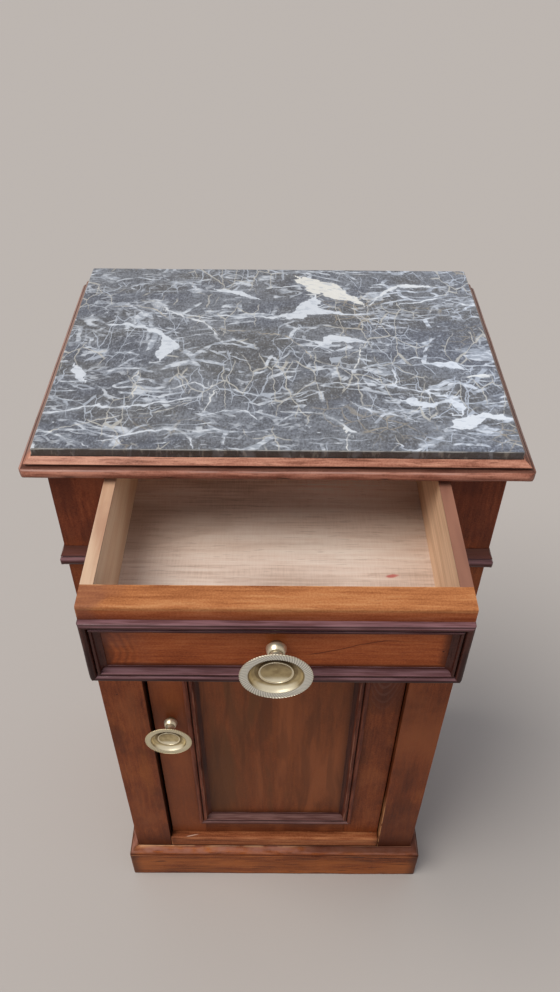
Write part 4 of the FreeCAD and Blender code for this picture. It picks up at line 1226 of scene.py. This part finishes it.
ebony = ((0.022, 0.006, 0.004), (0.072, 0.021, 0.015), (0.140, 0.044, 0.030))
dark_woods = {
    grain: polished_wood(
        "ebonised_" + grain, grain, 97, colours, mark("worn"), lined, shine=0.15, rubbed=rubbed
    )
    for grain, colours, rubbed in (("x", plum, (0.40, 0.235, 0.225)), ("z", ebony, (0.11, 0.045, 0.032)))
}
drawer_corner = 0.007
top_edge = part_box("drawer_moulding_top")[1].z
base_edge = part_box("drawer_moulding_bottom")[0].z
panel_moulding(
    "drawer_moulding",
    panel_section(drawer_moulding_width, drawer_moulding_fillet, 0.0),
    Vector((front_low.x, 0, base_edge)),
    Vector((front_high.x, 0, top_edge)),
    front_low.y,
    "drawer",
    dark_woods,
    seed=110,
    corner=drawer_corner,
)


# Brass knobs: cast and turned, a round foot and a neck under a dished plate, with a sunk middle, a
# thin ring, a hollow channel and a flat rim cut like rope. Rubbed bright, brown in its hollows.

knob_radius = 0.0265
knob_reach = 0.0294
rim_width = 0.0066
rim_thickness = 0.0014
dish_depth = 0.0054
ring_radius = 0.0127
ring_width = 0.0008
ring_height = 0.0018
middle_sink = 0.0026
ball_radius = 0.0077
ball_rise = 0.0042
ball_height = 0.0098
foot_radius = 0.0046
neck_radius = 0.005
neck_height = 0.0040
bowl_depth = 0.006
bowl_radius = 0.0256
rope_count = 74
rope_depth = 0.00045
rope_lean = 11.0
angle_steps = 592
filing = 0.00004
filing_wavelength = 0.012


def knob_profile():
    """Outline of the knob from the axis at its foot to the axis in its middle, as radius and height,
    with how far each point takes part in the rope and how dark it is painted: brown patina in the
    hollows, and painted shade on the cone under the drum, in a line at the neck and in dark bands of
    the channel."""
    rim_round = rim_thickness / 2
    rim_plane = knob_reach - rim_round
    rim_inner = knob_radius - rim_width
    dish_floor = knob_reach - dish_depth
    ring_top = dish_floor + ring_height
    ring_round = ring_width / 2
    neck_end = ball_height + neck_height
    bowl_base = rim_plane - bowl_depth
    middle_edge = (ring_radius - ring_width, ring_top - ring_width)
    cone = np.linspace((foot_radius, 0.0001), (ball_radius - 0.0005, ball_rise - 0.0007), 6)
    ball = hollow((neck_radius + 0.0009, ball_height), (ball_radius, ball_rise), 1, 12)
    bowl = np.linspace((ring_radius + 0.001, bowl_base), (bowl_radius, rim_plane - rim_round), 6)
    rim_top = np.linspace((knob_radius - rim_round, knob_reach), (rim_inner + 0.0005, knob_reach), 14)
    rim_top[:, 1] -= 0.0005 * (1 - np.cos(np.linspace(-1, 1, 14)))
    channel = hollow((rim_inner, knob_reach - 0.0006), (ring_radius, dish_floor), 0, 18)
    ring = turned_arc((ring_radius - ring_round, ring_top - ring_round), ring_round, 0, 180, 7)
    # Each piece: its points, its share of the rope, and how dark it is painted, as patina in the hollows and
    # painted shade on the cone, at the neck and in the channel's dark bands.
    pieces = (
        (np.array([(0.0, 0.0), (foot_radius, 0.0)]), 0, 0.2),
        (cone, 0, 1.0),
        (hollow((ball_radius - 0.0004, ball_rise - 0.0006), (ball_radius, ball_rise), 1, 5), 0, 0),
        (ball[-2::-1], 0, 0),
        (np.array([(neck_radius, ball_height + 0.0001), (neck_radius, ball_height + 0.0004)]), 0, 0.9),
        (np.array([(neck_radius, ball_height + 0.0007), (neck_radius, neck_end - 0.0003)]), 0, 0),
        (hollow((ring_radius, bowl_base), (neck_radius, neck_end), 1)[::-1], 0, 0.3),
        (bowl, 0, 0.3),
        (turned_arc((knob_radius - rim_round, rim_plane), rim_round, -80, 80, 9), 0.6, 0),
        (rim_top, 1, 0),
        (channel[:3], 0, 0.9),
        (channel[3:7], 0, 0.1),
        (channel[7:12], 0, 0.4),
        (channel[12:], 0, 0.9),
        (ring, 0, 0),
        (hollow(middle_edge, (0.0, middle_edge[1] - middle_sink), 0, 14), 0, 0.55),
    )
    outline = np.concatenate([p for p, _, _ in pieces])
    rope = np.concatenate([np.full(len(p), r) for p, r, _ in pieces])
    deep = np.concatenate([np.full(len(p), d) for p, _, d in pieces])
    return outline, rope, deep


def brass_knob(name, node, body, material, seed):
    """The outline turned about the knob's axis, with the rope rim cut as a leaning cosine and a
    little unevenness from filing. Marks tell hollows, rim, rope valleys, ring and ball apart, and
    give painted light in the hollows, from 1 for painted shade under an upper lip to -1 for a
    painted glint on a lower lip."""
    low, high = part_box(node)
    outline, rope, deep = knob_profile()
    centre = ((low.x + high.x) / 2, (low.z + high.z) / 2)
    foot = high.y
    turn = np.linspace(0, 2 * np.pi, angle_steps, endpoint=False)[:, None]
    inner, rope, deep = outline[1:-1], rope[1:-1], deep[1:-1]
    out_from_axis, up_from_foot = inner.T
    across = np.gradient(inner, axis=0)
    outward = np.stack([across[:, 1], -across[:, 0]], -1)
    outward /= np.maximum(np.linalg.norm(outward, axis=1, keepdims=True), 1e-9)
    cut = np.cos(rope_count * turn + rope_lean * (knob_radius - out_from_axis) / rim_width)
    shift = rope * rope_depth * (cut - 1) / 2
    radius = out_from_axis + outward[:, 0] * shift
    height = up_from_foot + outward[:, 1] * shift
    east, rise = radius * np.cos(turn), radius * np.sin(turn)
    points = np.stack([centre[0] + east, foot - height, centre[1] + rise], -1)
    points[..., 1] += filing * np.clip(1 + ripple(points, filing_wavelength, seed), 0, 2)
    # Painted light in the hollows: positive under an upper lip, for painted shade, and negative over a lower
    # lip, for a painted glint.
    in_middle = out_from_axis < ring_radius
    steep = np.where(in_middle, 1.15 * (out_from_axis / ring_radius) ** 1.5, 1.0)
    outer = (out_from_axis - ring_radius) / (knob_radius - rim_width - ring_radius)
    lower = np.where(out_from_axis > ring_radius, np.clip(outer * 2.2 - 0.5, 0, 1), 1.0)
    lit = np.where(np.sin(turn) < 0, lower, 1.0)
    overhead = np.clip(np.sin(turn) * np.clip(deep * 10, 0, 1) * steep * lit, -1, 1)
    overhead = np.where(up_from_foot > knob_reach - dish_depth - 0.004, overhead, 0.0)
    index = np.arange(cut.size).reshape(cut.shape)
    ahead = np.roll(index, -1, axis=0)
    quads = np.stack([index[:, :-1], index[:, 1:], ahead[:, 1:], ahead[:, :-1]], -1).reshape(-1, 4)
    foot_fan = np.stack([np.full(angle_steps, index.size), index[:, 0], ahead[:, 0]], -1)
    crown_fan = np.stack([index[:, -1], np.full(angle_steps, index.size + 1), ahead[:, -1]], -1)
    faces = [*quads.tolist(), *foot_fan.tolist(), *crown_fan.tolist()]
    poles = np.array([(centre[0], foot, centre[1]), (centre[0], foot - outline[-1, 1], centre[1])])
    points = np.concatenate([points.reshape(-1, 3), poles])
    turned = (up_from_foot > ball_rise - 0.0007) & (up_from_foot < ball_height + neck_height)
    on_ring = np.abs(out_from_axis - ring_radius + ring_width / 2) < 0.00075
    on_ring &= up_from_foot > knob_reach - dish_depth
    poles_of = {"hollow": (0.2, 0.1)}
    marks = {
        "hollow": deep,
        "rim": rope,
        "overhead": overhead,
        "ball": turned,
        "valley": rope * (1 - cut) / 2,
        "ring": on_ring,
    }
    marks = {
        key: np.concatenate([np.broadcast_to(values, cut.shape).ravel(), poles_of.get(key, (0, 0))])
        for key, values in marks.items()
    }
    place_piece(name, points, faces, body, node, material, marks)


def old_brass(name, rim_colour, bright, brown):
    """Worn brass: brown patina in its hollows, painted shade under the upper lips and a painted glint,
    brighter and less metallic, on the lower lips, with a rim of its own colour and fine scratches."""
    made, place = finish(name)
    hollows = mark("hollow")(place)
    rims = mark("rim")(place)
    overhead = mark("overhead")(place)
    tarnish = noise(place, 170, 5)
    scratches = noise(place, (900, 900, 140), 2)
    colour = mix(tarnish.step(0.40, 0.66) * 0.6, bright, brown)
    ball = mark("ball")(place)
    colour = mix(ball * 0.85, colour, (1.00, 0.92, 0.72))
    colour = mix(rims * 0.9, colour, rim_colour)
    colour = mix((hollows * (0.40 + tarnish * 0.8)).least(1.0), colour, (0.20, 0.140, 0.070))
    # Painted shade under the upper lips, then a painted glint on the lower lips.
    colour = mix(overhead.step(-0.2, 0.9) * (0.65 + tarnish * 0.5), colour, (0.105, 0.068, 0.030))
    glint = overhead.step(-0.40, -0.92)
    colour = mix(glint * 0.9, colour, (1.00, 0.93, 0.72))
    colour = mix(mark("ring")(place) * 0.85, colour, (1.00, 0.94, 0.76))
    colour = mix(mark("valley")(place) * 0.65, colour, (0.28, 0.28, 0.23))
    return coat(
        made,
        Base_Color=colour,
        Metallic=1.0 - hollows * 0.25 - rims * 0.50 - ball * 0.20 - glint * 0.40,
        Roughness=0.24 + tarnish * 0.20 + hollows * 0.14,
        Normal=bump(scratches, 0.00004, 0.5),
    )


silvery = old_brass("brass_silvery_rim", (1.00, 0.97, 0.88), (0.70, 0.57, 0.32), (0.44, 0.33, 0.16))
golden = old_brass("brass_golden_rim", (0.97, 0.85, 0.58), (0.92, 0.77, 0.44), (0.62, 0.48, 0.23))
brass_knob("drawer_pull", "drawer_knob", "drawer", silvery, 131)
brass_knob("door_pull", "door_knob", "door_latch", golden, 132)


# Door: two stiles and two rails of walnut, mortised and tenoned, round a flat panel of flamed
# veneer with its figure upright. Polished as the carcase is, rubbed pale along the closing edges.

left_low, left_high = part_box("door_stile_left")
right_low, right_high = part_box("door_stile_right")
rail_top_low, rail_top_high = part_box("door_rail_top")
rail_base_low, rail_base_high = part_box("door_rail_bottom")
panel_low, panel_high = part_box("door_panel")
crown_x = right_low.x + 0.024
crown_z = right_high.z - 0.075


def crown_grain(place, colour):
    """Arched growth lines at the head of the right stile: rings round a long ellipse."""
    colour = blotched(place, colour)
    across = (place.part(0) - crown_x) * 6.0
    upwards = place.part(2) - crown_z
    away = (across * across + upwards * upwards).root()
    rings = ((away + (noise(place, 22) - 0.5) * 0.030) * 420.0).sine() * 0.5 + 0.5
    crown = place.part(0).step(right_low.x - 0.002, right_low.x) * away.step(0.20, 0.12)
    colour = mix(crown * 0.55, colour, (0.078, 0.024, 0.018))
    left = place.part(0).step(0.02, -0.02)
    colour = mix(left * 0.5, colour, (0.310, 0.090, 0.034))
    return mix(crown * rings.step(0.55, 0.95) * 0.35, colour, (0.230, 0.105, 0.075))


stile_wood = polished_wood("walnut_door_stiles", "z", 141, walnut, mark("worn"), crown_grain)
dull_walnut = ((0.040, 0.009, 0.004), (0.158, 0.039, 0.014), (0.285, 0.085, 0.029))
rail_wood = polished_wood("walnut_door_rails", "x", 142, dull_walnut, mark("worn"), blotched)


def flamed(place, colour):
    """Upright flames of green-brown and red, fanning out a little towards the top, and painted shade
    that darkens the panel towards the mouldings."""
    lean = place.part(0) * (1.0 + (place.part(2) - 0.1) * 0.35)
    swirl = place.node("CombineXYZ", {}, {0: lean, 1: place.part(1), 2: place.part(2)})
    flame = noise(swirl, (17, 17, 2.3), 5, 0.9)
    licks = noise(swirl, (60, 60, 7), 4, 0.6, shift=(4.0, 0.0, 1.0))
    colour = mix(noise(place, 9, 3).step(0.15, 0.55) * 0.5, colour, (0.225, 0.074, 0.027))
    colour = mix(flame.step(0.49, 0.62) * 0.75, colour, (0.330, 0.100, 0.036))
    colour = mix(flame.step(0.49, 0.36) * 0.70, colour, (0.130, 0.052, 0.021))
    colour = mix(licks.step(0.50, 0.36) * 0.35, colour, (0.080, 0.028, 0.013))
    across = (place.part(0) - left_high.x).least(right_low.x - place.part(0))
    inside = across.least(place.part(2) - rail_base_high.z).least(rail_top_low.z - place.part(2))
    # Painted shade: the panel darker towards the mouldings round it.
    return mix(inside.step(0.022, 0.006) * 0.6, colour, (0.045, 0.013, 0.006))


panel_wood = polished_wood("walnut_door_panel", "z", 143, walnut, mark("worn"), flamed)
door_ease = 0.0005
boards = (
    ("door_upright_left", "door_stile_left", left_low, left_high, stile_wood),
    ("door_upright_right", "door_stile_right", right_low, right_high, stile_wood),
    (
        "door_crossbar_top",
        "door_rail_top",
        (left_high.x, rail_top_low.y, rail_top_low.z),
        (right_low.x, rail_top_high.y, rail_top_high.z),
        rail_wood,
    ),
    (
        "door_crossbar_bottom",
        "door_rail_bottom",
        (left_high.x, rail_base_low.y, rail_base_low.z),
        (right_low.x, rail_base_high.y, rail_base_high.z),
        rail_wood,
    ),
    (
        "door_field",
        "door_panel",
        (left_high.x, panel_low.y, rail_base_high.z),
        (right_low.x, panel_high.y, rail_top_low.z),
        panel_wood,
    ),
)
for index, (name, stands_for, low, high, material) in enumerate(boards):
    worn_board(name, low, high, door_ease, 150 + 4 * index, "door", stands_for, material)


# Mouldings on the door: the same dark strips as on the drawer, a little wider, planted over the
# joint between frame and panel and reaching down to the panel.

door_moulding_width = 0.0175
door_moulding_fillet = 0.0040
russet = ((0.040, 0.010, 0.006), (0.148, 0.039, 0.021), (0.270, 0.082, 0.044))
russet_rubbed = (0.31, 0.120, 0.070)


def grooved(place, colour):
    """Red-brown uprights, black with old polish and painted shade in the quirk and in the hollow beside
    the panel, and rubbed light in places along the fillet between them."""
    inner = mark("inner")(place)
    # Old polish with painted shade: black in the quirk and in the hollow beside the panel.
    deep = inner.step(0.66, 0.76).most(inner.band(0.34, 0.37, 0.40, 0.43) * 0.8)
    fillet = inner.band(0.585, 0.61, 0.64, 0.66) * noise(place, (90, 90, 40)).step(0.40, 0.60)
    colour = mix(fillet * 0.75, colour, (0.36, 0.170, 0.115))
    return soiled_and_shaded(place, mix(deep * 0.7, colour, (0.040, 0.012, 0.008)))


russet_wood = polished_wood(
    "russet_uprights", "z", 99, russet, mark("worn"), grooved, lively=0.9, shine=0.02, rubbed=russet_rubbed
)
door_corner_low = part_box("door_moulding_bottom")[0]
door_corner_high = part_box("door_moulding_top")[1]
panel_moulding(
    "door_moulding",
    panel_section(door_moulding_width, door_moulding_fillet, panel_low.y - left_low.y),
    Vector((door_corner_low.x, 0, door_corner_low.z)),
    Vector((door_corner_high.x, 0, door_corner_high.z)),
    left_low.y,
    "door",
    {"x": dark_woods["x"], "z": russet_wood},
    seed=170,
)


# Ironwork: pivot hinges let into the door's edges, screws, nails, the knob's stud and nut, and the
# latch. All are forged or cut iron, dark brown with age, with rust in the low places.

iron, place = finish("old_iron")
rusting = noise(place, 180, 5)
rusted = rusting.step(0.45, 0.65)
coat(
    iron,
    Base_Color=mix(rusted, (0.16, 0.15, 0.14), (0.14, 0.070, 0.035)),
    Metallic=1.0 - rusted * 0.7,
    Roughness=0.38 + rusting * 0.3,
    Normal=bump(rusting, 0.0002, 0.5),
)
dress(iron, "hinge_plate_upper", "hinge_plate_lower", "hinge_pivot_upper", "hinge_pivot_lower")
dress(iron, "hinge_screws_carcase", "hinge_screws_door", "back_panel_nails", "drawer_bottom_nails")
dress(iron, "drawer_knob_stud", "drawer_knob_nut", "latch_spindle", "latch_tongue")


# Studio: a wide pale grey floor that runs into a backdrop of its own colour, a soft sky, one large
# soft sun from the front left, and the camera high in front of the open drawer.

floor_half = 24.0
corners = [(floor_half * x, floor_half * y, 0) for x, y in ((-1, -1), (1, -1), (1, 1), (-1, 1))]
floor_mesh = bpy.data.meshes.new("studio_floor")
floor_mesh.from_pydata(corners, [], [(0, 1, 2, 3)])
floor_grey, _ = finish("floor_grey")
coat(floor_grey, Base_Color=(0.512, 0.471, 0.441, 1.0), Roughness=0.9, Specular_IOR_Level=0.1)
floor_mesh.materials.append(floor_grey)
studio_floor = bpy.data.objects.new("studio_floor", floor_mesh)
bpy.context.scene.collection.objects.link(studio_floor)
studio_floor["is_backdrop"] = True

sky = bpy.data.worlds.new("soft_sky")
bpy.context.scene.world = sky
sky.use_nodes = True
backdrop_colour = (0.505, 0.460, 0.422)
horizon_colour = (0.135, 0.135, 0.142)
zenith_colour = (0.555, 0.58, 0.622)
direction = Shade(sky.node_tree.nodes.new("ShaderNodeTexCoord").outputs["Generated"])
light = ramp(direction.part(2), (0.0, horizon_colour), (1.0, zenith_colour))
seen = direction.node("LightPath", {}, {}, "Is Camera Ray")
mirrored = direction.node("LightPath", {}, {}, "Is Glossy Ray")
through = direction.node("LightPath", {}, {}, "Is Transmission Ray")
light = mix(seen.most(mirrored).most(through), light, backdrop_colour)
background = next(n for n in sky.node_tree.nodes if n.type == "BACKGROUND")
sky.node_tree.links.new(light.socket, background.inputs["Color"])
background.inputs["Strength"].default_value = 1.0

sun_way = Vector((0.45, 0.19, -0.873))
sun_data = bpy.data.lights.new("soft_sun", "SUN")
sun_data.energy = 2.07
sun_data.angle = math.radians(37)
sun_data.color = (1.0, 0.965, 0.91)
sun = bpy.data.objects.new("soft_sun", sun_data)
sun.rotation_euler = sun_way.to_track_quat("-Z", "Y").to_euler()
bpy.context.scene.collection.objects.link(sun)

long_side = 992
focal_pixels = 819.8
camera_place = Vector((-0.0006, -0.5703, 1.2180))
camera_yaw = math.radians(0.32)
camera_pitch = math.radians(43.02)
camera_roll = math.radians(0.65)
camera_data = bpy.data.cameras.new("camera")
camera_data.sensor_width = 36.0
camera_data.lens = camera_data.sensor_width * focal_pixels / long_side
camera = bpy.data.objects.new("camera", camera_data)
aim = Matrix.Rotation(-camera_yaw, 4, "Z") @ Matrix.Rotation(math.pi / 2 - camera_pitch, 4, "X")
camera.matrix_world = Matrix.Translation(camera_place) @ aim @ Matrix.Rotation(camera_roll, 4, "Z")
bpy.context.scene.collection.objects.link(camera)
bpy.context.scene.camera = camera
bpy.context.scene.view_settings.view_transform = "Standard"

low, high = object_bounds()
